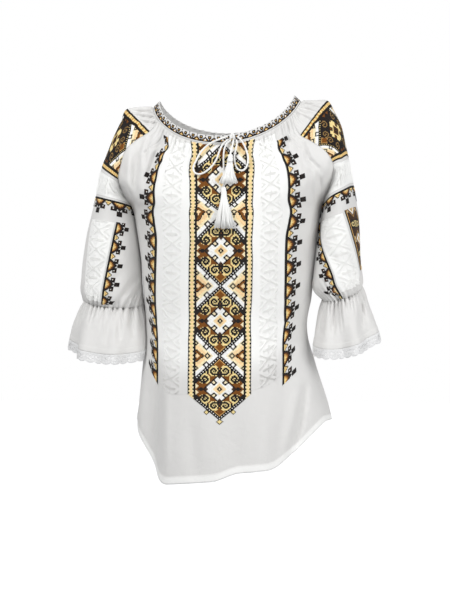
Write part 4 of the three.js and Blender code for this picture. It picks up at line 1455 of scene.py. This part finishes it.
def ring_lattice(cloth, top, bottom, rows, count):
    """A lattice round a sleeve, with its rows evenly apart from its top to its bottom line."""
    columns = np.linspace(-1, 1, count + 1)
    share = np.linspace(0, 1, rows + 1)
    places = np.empty((rows + 1, count + 1))
    for k, column in enumerate(columns):
        line = cloth.read(cloth.down, cloth.places, np.full(len(cloth.places), column))
        high, low = np.interp([top(column), bottom(column)], cloth.places, line)
        places[:, k] = np.interp(mix(high, low, share), line, cloth.places)
    return places, np.repeat(columns[None, :], rows + 1, 0)


def centre_lattice():
    rows, wide = CENTRE_ROWS, 2 * CENTRE_HALF + 1
    number = np.arange(rows + 1) - CENTRE_ABOVE - 0.5
    way = np.interp(number, *np.array(CENTRE_ROWS_AT).T)
    knots = [np.interp(way, CENTRE_KNOTS[:, 0], CENTRE_KNOTS[:, k]) for k in range(1, 7)]
    t = np.linspace(-1.03, 1.03, wide + 1)[None, :]
    both = []
    for low, middle, high in ((knots[0], knots[2], knots[4]), (knots[1], knots[3], knots[5])):
        low, middle, high = low[:, None], middle[:, None], high[:, None]
        both.append(middle + (high - low) / 2 * t + ((high + low) / 2 - middle) * t * t)
    return both


def make_front_stitching(scene):
    cloth = body_form(True, scene.blouse_cloth)
    threads = scene.blouse_threads
    stitch, relief = floss_material(*CROSS_FLOSS), floss_material(*RELIEF_FLOSS)
    places, columns = centre_lattice()
    chart = chart_from(CENTRE_ROWS, 2 * CENTRE_HALF + 1, centre_cell)
    chart[places[:-1, :-1] < 0.03] = EMPTY
    chart[places[:-1, 1:] < 0.03] = EMPTY
    pieces = [stitch_piece("front_centre_stitching", cloth, places, columns, chart, STITCH_TOP,
                           threads, stitch)]
    panel_left = edge([(row[1], row[2]) for row in CENTRE_KNOTS])
    panel_right = edge([(row[5], row[6]) for row in CENTRE_KNOTS])
    left_line, right_line = edge(LEFT_LINE), edge(RIGHT_LINE)
    sides = (
        ("left", left_line, beside(cloth, left_line, LEFT_REACH), 0.9, 14.25, panel_left, 1),
        ("right", right_line, beside(cloth, right_line, RIGHT_REACH), 1.3, 14.42, panel_right, 2),
    )
    for side, line, outer, first, last, panel, phase in sides:
        low, high = (outer, line) if side == "left" else (line, outer)
        places, columns = strip(cloth, first, last, CELL, low, high, ZIGZAG_WIDE)
        chart = chart_from(len(places) - 1, ZIGZAG_WIDE, zigzag_cell(phase))
        if side == "left":
            chart = chart[:, ::-1]
        pieces.append(stitch_piece(f"front_{side}_stitching", cloth, places, columns, chart,
                                   STITCH_TOP, threads, stitch))
        low, high = (line, panel) if side == "left" else (panel, line)
        places, columns = strip(cloth, 0.5, 14.03, CELL, between(low, high, 0.01),
                                between(low, high, 0.99), 31)
        chart = chart_from(len(places) - 1, 31, white_cell(31, 10))
        fade = ease((np.arange(len(chart)) - len(chart) + 44) / 38)
        pieces.append(stitch_piece(f"front_{side}_whitework", cloth, places, columns, chart,
                                   RELIEF_TOP, scene.blouse_cloth, relief, fade))
    for piece in pieces:
        finish_piece(piece, "cotton")


def make_sleeve_stitching(scene, left):
    cloth = sleeve_form(left, scene.blouse_cloth)
    pieces = []

    def add(name, lattice, chart, *look):
        name = f"sleeve_{for_side(left, 'left', 'right')}_{name}"
        pieces.append(stitch_piece(name, cloth, *lattice, chart, *look))

    def add_stitching(name, lattice, chart):
        add(name, lattice, chart, STITCH_TOP, scene.blouse_threads, floss_material(*CROSS_FLOSS))

    def add_whitework(name, lattice, chart):
        add(name, lattice, chart, RELIEF_TOP, scene.blouse_cloth, floss_material(*RELIEF_FLOSS),
            np.zeros(len(chart)))

    if left:
        top, bottom = (lambda column: 1.95), (lambda column: 6.0)
    else:
        top = lambda column: 2.08
        bottom = lambda column: np.interp(abs(column), [0, 0.616, 0.986], [6.052, 5.914, 5.441])
    wide = 2 * CENTRE_HALF + 1
    lattice = ring_lattice(cloth, top, bottom, wide, BLOCK_AROUND)
    add_stitching("block", lattice, chart_from(wide, BLOCK_AROUND, block_cell))
    line = lambda column: 7.9 + 0.12 * abs(column)
    lattice = ring_lattice(cloth, lambda c: bottom(c) + 0.22, lambda c: line(c) - 0.16,
                           23, BLOCK_AROUND)
    add_whitework("upper_whitework", lattice, chart_from(BLOCK_AROUND, 23, white_cell(23, 11)).T)
    lattice = ring_lattice(cloth, line, lambda column: 8.86 + 0.1 * abs(column),
                           ZIGZAG_WIDE, RING_AROUND)
    add_stitching("ring", lattice, chart_from(RING_AROUND, ZIGZAG_WIDE, zigzag_cell(0)).T)
    if left:
        centre = edge(((9.2, 0.12), (12.6, 0.12)))
        lines = (
            (edge(((9.25, -0.622), (11.07, -0.538), (12.1, -0.495), (13.66, -0.437))), -1, 13.75),
            (edge(((9.25, 0.7), (13.1, 0.66))), 1, 13.75),
        )
        whites = (
            (edge(((9.25, -0.605), (11.07, -0.522), (12.1, -0.478), (13.66, -0.42))),
             edge(((9.25, -0.237), (12.5, -0.239)))),
            (edge(((9.25, 0.33), (12.5, 0.33))), edge(((9.25, 0.66), (12.5, 0.63)))),
        )
        last = 12.6
    else:
        centre = edge(((9.25, -0.26), (12.67, 0.045)))
        lines = (
            (edge(((9.3, -0.93), (11.02, -0.712), (12.52, -0.55), (14.0, -0.46))), -1, 13.9),
            (lambda p: centre(p) + np.interp(p, [9.3, 12.7], [0.71, 0.625]), 1, 13.6),
        )
        whites = (
            (edge(((9.3, -0.91), (11.02, -0.692), (12.52, -0.53), (14.0, -0.44))),
             lambda p: centre(p) - 0.19),
            (lambda p: centre(p) + 0.2,
             lambda p: centre(p) + np.interp(p, [9.3, 12.7], [0.66, 0.59])),
        )
        last = 12.7
    wide = 2 * COLUMN_HALF + 1
    lattice = strip(cloth, 9.2, last, CELL, lambda p: centre(p) - 0.15,
                    lambda p: centre(p) + 0.15, wide)
    add_stitching("column", lattice, chart_from(len(lattice[0]) - 1, wide, column_cell))
    ends = ("front", "back")
    for number, (line, way, end) in enumerate(lines):
        outer = beside(cloth, line, ((0, way * 27.0), (14, way * 27.0)))
        low, high = (outer, line) if way < 0 else (line, outer)
        lattice = strip(cloth, 9.25, end, 0.86 * CELL, low, high, ZIGZAG_WIDE)
        chart = chart_from(len(lattice[0]) - 1, ZIGZAG_WIDE, zigzag_cell(7))
        add_stitching(f"{ends[number]}_stitching", lattice, chart[:, ::-1] if way < 0 else chart)
    for number, (low, high) in enumerate(whites):
        lattice = strip(cloth, 9.3, 13.5, CELL, low, high, 25)
        chart = chart_from(len(lattice[0]) - 1, 25, white_cell(25, 12))
        add_whitework(f"{ends[number]}_whitework", lattice, chart)
    for piece in pieces:
        finish_piece(piece, "cotton")


# ---- Materials ----

def add_node(tree, kind, **values):
    node = tree.nodes.new(kind)
    for key, value in values.items():
        setattr(node, key, value)
    return node


def maths(tree, operation, *inputs):
    """A Math node. Each input is a socket to link from or a number."""
    node = add_node(tree, "ShaderNodeMath", operation=operation)
    for socket, value in zip(node.inputs, inputs):
        if isinstance(value, (int, float)):
            socket.default_value = value
        else:
            tree.links.new(value, socket)
    return node.outputs[0]


def new_group(name, inputs, outputs):
    """An empty shader group with sockets given as (name, kind, default)."""
    tree = bpy.data.node_groups.new(name, "ShaderNodeTree")
    for socket_name, kind, default in inputs:
        socket = tree.interface.new_socket(socket_name, in_out="INPUT", socket_type=kind)
        if default is not None:
            socket.default_value = default
    for socket_name in outputs:
        tree.interface.new_socket(socket_name, in_out="OUTPUT", socket_type="NodeSocketFloat")
    return tree, add_node(tree, "NodeGroupInput"), add_node(tree, "NodeGroupOutput")


def noise(tree, vector, scale, detail=2.0, distortion=0.0):
    node = add_node(tree, "ShaderNodeTexNoise")
    node.inputs["Scale"].default_value = scale
    node.inputs["Detail"].default_value = detail
    node.inputs["Distortion"].default_value = distortion
    tree.links.new(vector, node.inputs["Vector"])
    return node.outputs["Fac"]


def weave_group():
    """Plain weave: Height is the relief of the yarns, Slub their slow unevenness."""
    if "Plain Weave" in bpy.data.node_groups:
        return bpy.data.node_groups["Plain Weave"]
    tree, given, result = new_group("Plain Weave", (
        ("Vector", "NodeSocketVector", None), ("Yarns per Metre", "NodeSocketFloat", 900.0),
    ), ("Height", "Slub"))
    split = add_node(tree, "ShaderNodeSeparateXYZ")
    tree.links.new(given.outputs["Vector"], split.inputs[0])
    waves = []
    for axis in (0, 1):
        count = maths(tree, "MULTIPLY", split.outputs[axis], given.outputs["Yarns per Metre"])
        waves.append(maths(tree, "SINE", maths(tree, "MULTIPLY", count, math.pi)))
    crossing = maths(tree, "MULTIPLY", waves[0], waves[1])
    height = maths(tree, "MULTIPLY_ADD", crossing, 0.5, 0.5)
    slubs = []
    for stretch in ((30.0, 900.0, 1.0), (900.0, 30.0, 1.0)):
        mapping = add_node(tree, "ShaderNodeMapping")
        mapping.inputs["Scale"].default_value = stretch
        tree.links.new(given.outputs["Vector"], mapping.inputs["Vector"])
        slubs.append(noise(tree, mapping.outputs[0], 1.0))
    slub = maths(tree, "MULTIPLY", maths(tree, "ADD", slubs[0], slubs[1]), 0.5)
    tree.links.new(height, result.inputs["Height"])
    tree.links.new(slub, result.inputs["Slub"])
    return tree


def strand_group():
    """One crossed stitch in every unit of the vector: Strand is 1 along its two threads."""
    if "Crossed Stitch" in bpy.data.node_groups:
        return bpy.data.node_groups["Crossed Stitch"]
    tree, given, result = new_group("Crossed Stitch", (
        ("Vector", "NodeSocketVector", None),
    ), ("Strand",))
    split = add_node(tree, "ShaderNodeSeparateXYZ")
    tree.links.new(given.outputs["Vector"], split.inputs[0])
    across = maths(tree, "FRACT", split.outputs[0])
    down = maths(tree, "FRACT", split.outputs[1])
    one = maths(tree, "ABSOLUTE", maths(tree, "SUBTRACT", across, down))
    both = maths(tree, "ADD", across, down)
    other = maths(tree, "ABSOLUTE", maths(tree, "SUBTRACT", both, 1.0))
    gap = maths(tree, "MINIMUM", one, other)
    strand = maths(tree, "SUBTRACT", 1.0, maths(tree, "MULTIPLY", gap, 2.0))
    tree.links.new(maths(tree, "MAXIMUM", strand, 0.0), result.inputs["Strand"])
    return tree


def ply_group():
    """Threads that lie at a slant along a cord: Strand is 1 on the top of each."""
    if "Twisted Ply" in bpy.data.node_groups:
        return bpy.data.node_groups["Twisted Ply"]
    tree, given, result = new_group("Twisted Ply", (
        ("Vector", "NodeSocketVector", None), ("Threads per Metre", "NodeSocketFloat", 1600.0),
    ), ("Strand",))
    split = add_node(tree, "ShaderNodeSeparateXYZ")
    tree.links.new(given.outputs["Vector"], split.inputs[0])
    slant = maths(tree, "ADD", split.outputs[0], maths(tree, "MULTIPLY", split.outputs[1], 0.6))
    turn = maths(tree, "MULTIPLY", slant, given.outputs["Threads per Metre"])
    wave = maths(tree, "ABSOLUTE", maths(tree, "SINE", maths(tree, "MULTIPLY", turn, math.pi)))
    tree.links.new(wave, result.inputs["Strand"])
    return tree


def material_start(name, roughness, sheen):
    """A new node material. Returns it with its tree and its Principled shader."""
    material = bpy.data.materials.new(name)
    material.use_nodes = True
    tree = material.node_tree
    shader = tree.nodes["Principled BSDF"]
    shader.inputs["Roughness"].default_value = roughness
    shader.inputs["Sheen Weight"].default_value = sheen
    shader.inputs["Sheen Roughness"].default_value = 0.5
    shader.inputs["Specular IOR Level"].default_value = 0.25
    return material, tree, shader


def blend_colours(tree, factor, first, second, mode="MIX"):
    """A colour Mix node. Colours are sockets or values."""
    node = add_node(tree, "ShaderNodeMix", data_type="RGBA", blend_type=mode)
    for number, value in ((0, factor), (6, first), (7, second)):
        socket = node.inputs[number]
        if isinstance(value, bpy.types.NodeSocket):
            tree.links.new(value, socket)
        elif isinstance(value, (int, float)):
            socket.default_value = value
        else:
            socket.default_value = (*value[:3], 1.0)
    return node.outputs[2]


def bump(tree, shader, height, distance, strength, under=None):
    node = add_node(tree, "ShaderNodeBump")
    node.inputs["Distance"].default_value = distance
    node.inputs["Strength"].default_value = strength
    tree.links.new(height, node.inputs["Height"])
    if under is not None:
        tree.links.new(under, node.inputs["Normal"])
    tree.links.new(node.outputs[0], shader.inputs["Normal"])
    return node.outputs[0]


def shaded(colour, share):
    return [channel * share for channel in colour[:3]]


def cotton_material(scene):
    """White plain-woven cotton, a little uneven, with a soft crumple."""
    if "White Cotton" in bpy.data.materials:
        return bpy.data.materials["White Cotton"]
    settings = scene.blouse_cloth
    material, tree, shader = material_start("White Cotton", 0.86, 0.25)
    spot = add_node(tree, "ShaderNodeTexCoord")
    weave = add_node(tree, "ShaderNodeGroup", node_tree=weave_group())
    weave.inputs["Yarns per Metre"].default_value = settings.yarns
    tree.links.new(spot.outputs["UV"], weave.inputs["Vector"])
    patchy = noise(tree, spot.outputs["Object"], 14.0, 3.0)
    tone = blend_colours(tree, patchy, shaded(settings.colour, 0.955), settings.colour)
    tone = blend_colours(tree, weave.outputs["Slub"], shaded(settings.colour, 0.95), tone)
    doubled = add_node(tree, "ShaderNodeAttribute", attribute_name="doubled")
    share = maths(tree, "MULTIPLY", doubled.outputs["Fac"], 0.8)
    tone = blend_colours(tree, share, tone, settings.relief)
    tree.links.new(tone, shader.inputs["Base Color"])
    crumple = noise(tree, spot.outputs["Object"], 46.0, 3.0, 0.6)
    soft = bump(tree, shader, crumple, 0.0022, 0.45)
    yarns = maths(tree, "MULTIPLY_ADD", weave.outputs["Slub"], 1.2, weave.outputs["Height"])
    bump(tree, shader, yarns, 0.00022, 0.55, soft)
    rough = maths(tree, "MULTIPLY_ADD", weave.outputs["Slub"], 0.12, 0.8)
    tree.links.new(rough, shader.inputs["Roughness"])
    return material


# Name, roughness and sheen, the share and start of the painted shade between its threads, and its
# relief in metres
CROSS_FLOSS = ("Cross Stitch Floss", 0.72, 0.04, (0.24, 0.82), 0.0005)
RELIEF_FLOSS = ("White Relief Floss", 0.5, 0.3, (0.07, 0.93), 0.0006)


def floss_material(name, roughness, sheen, shade, relief):
    """Cotton floss in crossed stitches, in the colour that each stitch carries, with painted shade
    in the gaps between the threads.
    """
    if name in bpy.data.materials:
        return bpy.data.materials[name]
    material, tree, shader = material_start(name, roughness, sheen)
    spot = add_node(tree, "ShaderNodeTexCoord")
    cross = add_node(tree, "ShaderNodeGroup", node_tree=strand_group())
    tree.links.new(spot.outputs["UV"], cross.inputs[0])
    colour = add_node(tree, "ShaderNodeAttribute", attribute_name="thread")
    # Painted shade: the stitch colour is multiplied by shade[1] in the gaps between the crossed
    # threads and by up to shade[0] + shade[1] along them, so the gaps are darker
    tone = add_node(tree, "ShaderNodeCombineColor")
    for socket in tone.inputs:
        tree.links.new(maths(tree, "MULTIPLY_ADD", cross.outputs["Strand"], *shade), socket)
    floss_colour_with_painted_shade = blend_colours(tree, 1.0, colour.outputs["Color"], tone.outputs[0], "MULTIPLY")
    tree.links.new(floss_colour_with_painted_shade, shader.inputs["Base Color"])
    bump(tree, shader, cross.outputs["Strand"], relief, 0.5)
    return material


def yarn_material(name, colour, pitch, dark, distance):
    """White cotton yarn laid side by side, for lace, cord and tassels, with painted shade in the
    grooves between its plies.
    """
    if name in bpy.data.materials:
        return bpy.data.materials[name]
    material, tree, shader = material_start(name, 0.7, 0.3)
    spot = add_node(tree, "ShaderNodeTexCoord")
    ply = add_node(tree, "ShaderNodeGroup", node_tree=ply_group())
    ply.inputs["Threads per Metre"].default_value = pitch
    tree.links.new(spot.outputs["UV"], ply.inputs["Vector"])
    patchy = noise(tree, spot.outputs["Object"], 90.0)
    # Painted shade: the colour falls to dark times itself in the grooves between the plies, where
    # Strand is 0
    tone = blend_colours(tree, ply.outputs["Strand"], shaded(colour, dark), colour)
    tone = blend_colours(tree, patchy, tone, shaded(colour, 0.97))
    tree.links.new(tone, shader.inputs["Base Color"])
    bump(tree, shader, ply.outputs["Strand"], distance, 0.6)
    return material


# ---- Settings ----

def from_screen(red, green, blue):
    """A colour given in screen values, 0 to 255, as the linear values that shaders use."""
    return tuple(((c / 255 + 0.055) / 1.055) ** 2.4 if c > 10 else c / 3294.6
                 for c in (red, green, blue))


def colour_setting(name, description, *screen):
    return bpy.props.FloatVectorProperty(name=name, description=description, size=3, min=0, max=1,
                                         subtype="COLOR", default=from_screen(*screen))


def number_setting(name, description, default, low, high, **values):
    return bpy.props.FloatProperty(name=name, description=description, default=default,
                                   min=low, max=high, **values)


def length_setting(*values):
    return number_setting(*values, subtype="DISTANCE", unit="LENGTH")


class BlouseThreads(bpy.types.PropertyGroup):
    black: colour_setting("Black", "Outlines and border lines", 22, 16, 14)
    dark: colour_setting("Dark Brown", "Shadow side of the brown fields", 60, 37, 20)
    brown: colour_setting("Brown", "Main field of the panels", 124, 72, 12)
    olive: colour_setting("Olive", "Small diamonds, and the curls on the shoulders", 150, 118, 66)
    gold: colour_setting("Gold", "Bands and triangles", 220, 172, 98)
    pale: colour_setting("Pale Gold", "Ram's horns", 244, 222, 156)
    cream: colour_setting("Cream", "Teeth and rims", 250, 234, 194)
    peach: colour_setting("Peach", "Inner steps of the white fields", 250, 218, 166)
    white: colour_setting("White", "White fields of the panels", 250, 249, 246)


THREAD_NAMES = ("black", "dark", "brown", "olive", "gold", "pale", "cream", "peach", "white")


def settings_colour(threads, letter):
    return getattr(threads, THREAD_NAMES[THREADS.index(letter)])[:]


class BlouseCloth(bpy.types.PropertyGroup):
    colour: colour_setting("Cotton", "Colour of the cotton", 226, 225, 223)
    relief: colour_setting("White Relief", "Colour of the raised white stitches", 252, 252, 250)
    lace: colour_setting("Lace", "Colour of the lace edging", 238, 238, 238)
    wall: length_setting("Thickness", "Thickness of the cotton", 0.001, 0.0004, 0.002)
    lace_wall: length_setting("Lace Thickness", "Thickness of the lace thread",
                              0.0009, 0.0004, 0.002)
    gather: number_setting("Gathers", "Depth of the gathers, 1 as drawn", 1.0, 0.0, 2.0,
                           subtype="FACTOR")
    yarns: number_setting("Yarns per Metre", "Yarns of the weave in a metre",
                          1300.0, 300.0, 3000.0)


class BlouseCord(bpy.types.PropertyGroup):
    colour: colour_setting("Cord", "Colour of the drawstring and tassels", 254, 254, 252)
    diameter: length_setting("Diameter", "Diameter of the drawstring", 0.0034, 0.0015, 0.006)
    twist: length_setting("Twist", "Length of one turn of the strands", 0.0085, 0.003, 0.03)
    threads: bpy.props.IntProperty(name="Tassel Threads", description="Threads in each tassel",
                                   default=170, min=20, max=400)


class BlouseStage(bpy.types.PropertyGroup):
    floor: colour_setting("Floor", "Colour of the floor", 250, 250, 250)
    key: number_setting("Main Light", "Power of the light from the upper left", 29.0, 0.0, 1000.0,
                        unit="POWER")
    fill: number_setting("Fill Light", "Power of the light from the right", 29.0, 0.0, 1000.0,
                         unit="POWER")
    sky: number_setting("Surroundings", "Brightness of the light all round", 0.47, 0.0, 2.0)


# ---- Operators ----

VIEW_TARGET = (-3.48, -0.37, -344.75)  # in millimetres
VIEW_OFFSET = (0.2718, -2.5858, 0.0)  # in metres, from there to the camera
VIEW_LENS = 89.14
FLOOR_Z, FLOOR_HALF = -1150, 9000


class BLOUSE_OT_stage(bpy.types.Operator):
    """Makes the camera, the pale floor and the soft lights"""
    bl_idname = "blouse.stage"
    bl_label = "Stage"

    def execute(self, context):
        scene = context.scene
        settings = scene.blouse_stage
        target = Vector(VIEW_TARGET) * MM
        view = bpy.data.cameras.new("view")
        view.sensor_fit = "VERTICAL"
        view.sensor_height = 36.0
        view.lens = VIEW_LENS
        camera = bpy.data.objects.new("view", view)
        camera.location = target + Vector(VIEW_OFFSET)
        camera.rotation_euler = (target - camera.location).to_track_quat("-Z", "Y").to_euler()
        scene.collection.objects.link(camera)
        scene.camera = camera
        for name, size, power, place in (
            ("main_light", 0.8, settings.key, (-1.2, -1.45, 1.3)),
            ("fill_light", 1.6, settings.fill, (1.7, -1.6, 0.2)),
            ("back_light", 1.4, 0.15 * settings.fill, (0.4, 2.2, 0.9)),
        ):
            lamp = bpy.data.lights.new(name, "AREA")
            lamp.size = size
            lamp.energy = power
            light = bpy.data.objects.new(name, lamp)
            light.location = place
            light.rotation_euler = (target - light.location).to_track_quat("-Z", "Y").to_euler()
            scene.collection.objects.link(light)
        corners = [(x * FLOOR_HALF, y * FLOOR_HALF, FLOOR_Z)
                   for x, y in ((-1, -1), (1, -1), (1, 1), (-1, 1))]
        floor = new_object("floor", mesh_from("floor", corners, [(0, 1, 2, 3)]))
        material, tree, shader = material_start("Pale Floor", 0.9, 0.0)
        shader.inputs["Base Color"].default_value = (*settings.floor, 1.0)
        shader.inputs["Emission Color"].default_value = (*settings.floor, 1.0)
        shader.inputs["Emission Strength"].default_value = 0.7
        floor.data.materials.append(material)
        floor.visible_diffuse = False
        world = bpy.data.worlds.new("surroundings")
        world.use_nodes = True
        tree = world.node_tree
        sky = tree.nodes["Background"]
        sky.inputs["Color"].default_value = (0.985, 0.99, 1.0, 1.0)
        sky.inputs["Strength"].default_value = settings.sky
        seen = add_node(tree, "ShaderNodeBackground")
        seen.inputs["Color"].default_value = (1.0, 1.0, 1.0, 1.0)
        ray = add_node(tree, "ShaderNodeLightPath")
        either = add_node(tree, "ShaderNodeMixShader")
        tree.links.new(ray.outputs["Is Camera Ray"], either.inputs[0])
        tree.links.new(sky.outputs[0], either.inputs[1])
        tree.links.new(seen.outputs[0], either.inputs[2])
        tree.links.new(either.outputs[0], tree.nodes["World Output"].inputs[0])
        scene.world = world
        scene.view_settings.view_transform = "Standard"
        return {"FINISHED"}


class BLOUSE_OT_drawstring(bpy.types.Operator):
    """Makes the tied drawstring: its knot, its two loops, its two ends and their tassels"""
    bl_idname = "blouse.drawstring"
    bl_label = "Drawstring Bow"

    def execute(self, context):
        settings = context.scene.blouse_cord
        # 0.88 is the painted shade in the grooves between the plies of the cord and the tassel
        # floss
        cord = yarn_material("Twisted Cotton Cord", settings.colour, 1500.0, 0.88, 0.0002)
        floss = yarn_material("Tassel Floss", settings.colour, 900.0, 0.88, 0.0002)
        tassels = {}
        for side, place, seed in (("long", LONG_TASSEL, 3), ("short", SHORT_TASSEL, 4)):
            threads = tassel_threads(f"tassel_{side}_threads", place, settings, seed, floss)
            head = tassel_head(f"tassel_{side}_head", place, floss)
            finish_piece(threads, "cord", f"tassel_{side}")
            finish_piece(head, "cord")
            tassels[side] = [threads, head]
        knot = knot_piece("knot_of_bow", settings, cord)
        finish_piece(knot, "cord", "bow_knot")
        routes = (
            ("loop_left_cord", "bow_loop_left", LEFT_LOOP, "object", []),
            ("loop_right_cord", "bow_loop_right", RIGHT_LOOP, "object", []),
            ("long_end_cord", "cord_end_long", LONG_END + LONG_TAIL, "knot", tassels["long"]),
            ("short_end_cord", "cord_end_short", SHORT_END + SHORT_TAIL, "knot", tassels["short"]),
        )
        for name, node, route, end, pieces in routes:
            points = [cord_point(*place) for place in route]
            piece, path, length = cord_piece(name, points, settings, cord)
            finish_piece(piece, "cord", node)
        return {"FINISHED"}


class BLOUSE_OT_body(bpy.types.Operator):
    """Makes the front and the back of the blouse"""
    bl_idname = "blouse.body"
    bl_label = "Front and Back"

    def execute(self, context):
        settings = context.scene.blouse_cloth
        cotton = cotton_material(context.scene)
        for name, node, front, flat, area in (
            ("front_cloth", "front_panel", True, (0.6, 0.64), 0.3),
            ("back_cloth", "back_panel", False, (0.6, 0.65), 0.3),
        ):
            piece = cloth_piece(name, body_form(front, settings), settings.wall, cotton, HEM_AT)
            finish_piece(piece, "cotton", node)
        return {"FINISHED"}


class BLOUSE_OT_sleeves(bpy.types.Operator):
    """Makes the two raglan sleeves"""
    bl_idname = "blouse.sleeves"
    bl_label = "Sleeves"

    def execute(self, context):
        settings = context.scene.blouse_cloth
        cotton = cotton_material(context.scene)
        for side in ("left", "right"):
            form = sleeve_form(side == "left", settings)
            piece = cloth_piece(f"sleeve_{side}_cloth", form, settings.wall, cotton)
            finish_piece(piece, "cotton", f"sleeve_{side}")
        return {"FINISHED"}


class BLOUSE_OT_cuffs(bpy.types.Operator):
    """Makes the ruffles at the elbows and their lace edgings"""
    bl_idname = "blouse.cuffs"
    bl_label = "Ruffles and Lace"

    def execute(self, context):
        scene = context.scene
        settings = scene.blouse_cloth
        cotton = cotton_material(scene)
        # 0.86 is the painted shade in the grooves between the plies of the lace thread
        thread = yarn_material("Lace Thread", settings.lace, 1400.0, 0.86, 0.0002)
        for side in ("left", "right"):
            form = ruffle_form(side == "left", settings)
            piece = cloth_piece(f"ruffle_{side}_cloth", form, settings.wall, cotton)
            finish_piece(piece, "cotton", f"ruffle_{side}")
            lace = lace_piece(f"lace_{side}_edging", side == "left", settings, thread)
            finish_piece(lace, "lace", f"lace_{side}")
        return {"FINISHED"}


class BLOUSE_OT_neckband(bpy.types.Operator):
    """Makes the neckband and its stitched border"""
    bl_idname = "blouse.neckband"
    bl_label = "Neckband"

    def execute(self, context):
        scene = context.scene
        cloth = band_form()
        piece = cloth_piece("neckband_cloth", cloth, BAND_WALL, cotton_material(scene))
        finish_piece(piece, "neckband", "neckband")
        rows, count = len(BAND_CHART), BAND_REPEATS * BAND_PERIOD
        chart = chart_from(rows, count, lambda r, c: BAND_CHART[-1 - r][(c + 10) % BAND_PERIOD])
        down = np.linspace(BORDER_FOOT - rows * BORDER_STEP, BORDER_FOOT, rows + 1)
        places, columns = np.meshgrid(down, np.linspace(-1, 1, count + 1), indexing="ij")
        stitches = stitch_piece("neckband_stitching", cloth, places, columns, chart, STITCH_TOP,
                                scene.blouse_threads, floss_material(*CROSS_FLOSS))
        finish_piece(stitches, "neckband")
        return {"FINISHED"}


class BLOUSE_OT_front_stitching(bpy.types.Operator):
    """Stitches the panels of the front"""
    bl_idname = "blouse.front_stitching"
    bl_label = "Front Stitching"

    def execute(self, context):
        make_front_stitching(context.scene)
        return {"FINISHED"}


class BLOUSE_OT_sleeve_stitching(bpy.types.Operator):
    """Stitches the panels of both sleeves"""
    bl_idname = "blouse.sleeve_stitching"
    bl_label = "Sleeve Stitching"

    def execute(self, context):
        for left in (True, False):
            make_sleeve_stitching(context.scene, left)
        return {"FINISHED"}


class BLOUSE_PT_panel(bpy.types.Panel):
    """Lists the pieces of the blouse and their settings"""
    bl_label = "Embroidered Blouse"
    bl_idname = "BLOUSE_PT_panel"
    bl_space_type = "VIEW_3D"
    bl_region_type = "UI"
    bl_category = "Blouse"

    def draw(self, context):
        layout = self.layout
        for group, kind in SETTINGS.items():
            box = layout.box()
            for name in kind.__annotations__:
                box.prop(getattr(context.scene, group), name)
        for maker in MAKERS:
            layout.operator(maker.bl_idname)


SETTINGS = {
    "blouse_threads": BlouseThreads,
    "blouse_cloth": BlouseCloth,
    "blouse_cord": BlouseCord,
    "blouse_stage": BlouseStage,
}
MAKERS = (
    BLOUSE_OT_stage,
    BLOUSE_OT_drawstring,
    BLOUSE_OT_body,
    BLOUSE_OT_sleeves,
    BLOUSE_OT_cuffs,
    BLOUSE_OT_neckband,
    BLOUSE_OT_front_stitching,
    BLOUSE_OT_sleeve_stitching,
)
CLASSES = (*SETTINGS.values(), *MAKERS, BLOUSE_PT_panel)


def register():
    for kind in CLASSES:
        bpy.utils.register_class(kind)
    for name, kind in SETTINGS.items():
        setattr(bpy.types.Scene, name, bpy.props.PointerProperty(type=kind))


def unregister():
    for name in SETTINGS:
        delattr(bpy.types.Scene, name)
    for kind in reversed(CLASSES):
        bpy.utils.unregister_class(kind)


def main():
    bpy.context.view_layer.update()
    register()
    bpy.ops.blouse.stage()
    bpy.ops.blouse.drawstring()
    bpy.ops.blouse.body()
    bpy.ops.blouse.sleeves()
    bpy.ops.blouse.cuffs()
    bpy.ops.blouse.neckband()
    bpy.ops.blouse.front_stitching()
    bpy.ops.blouse.sleeve_stitching()


if __name__ == "__main__":
    main()
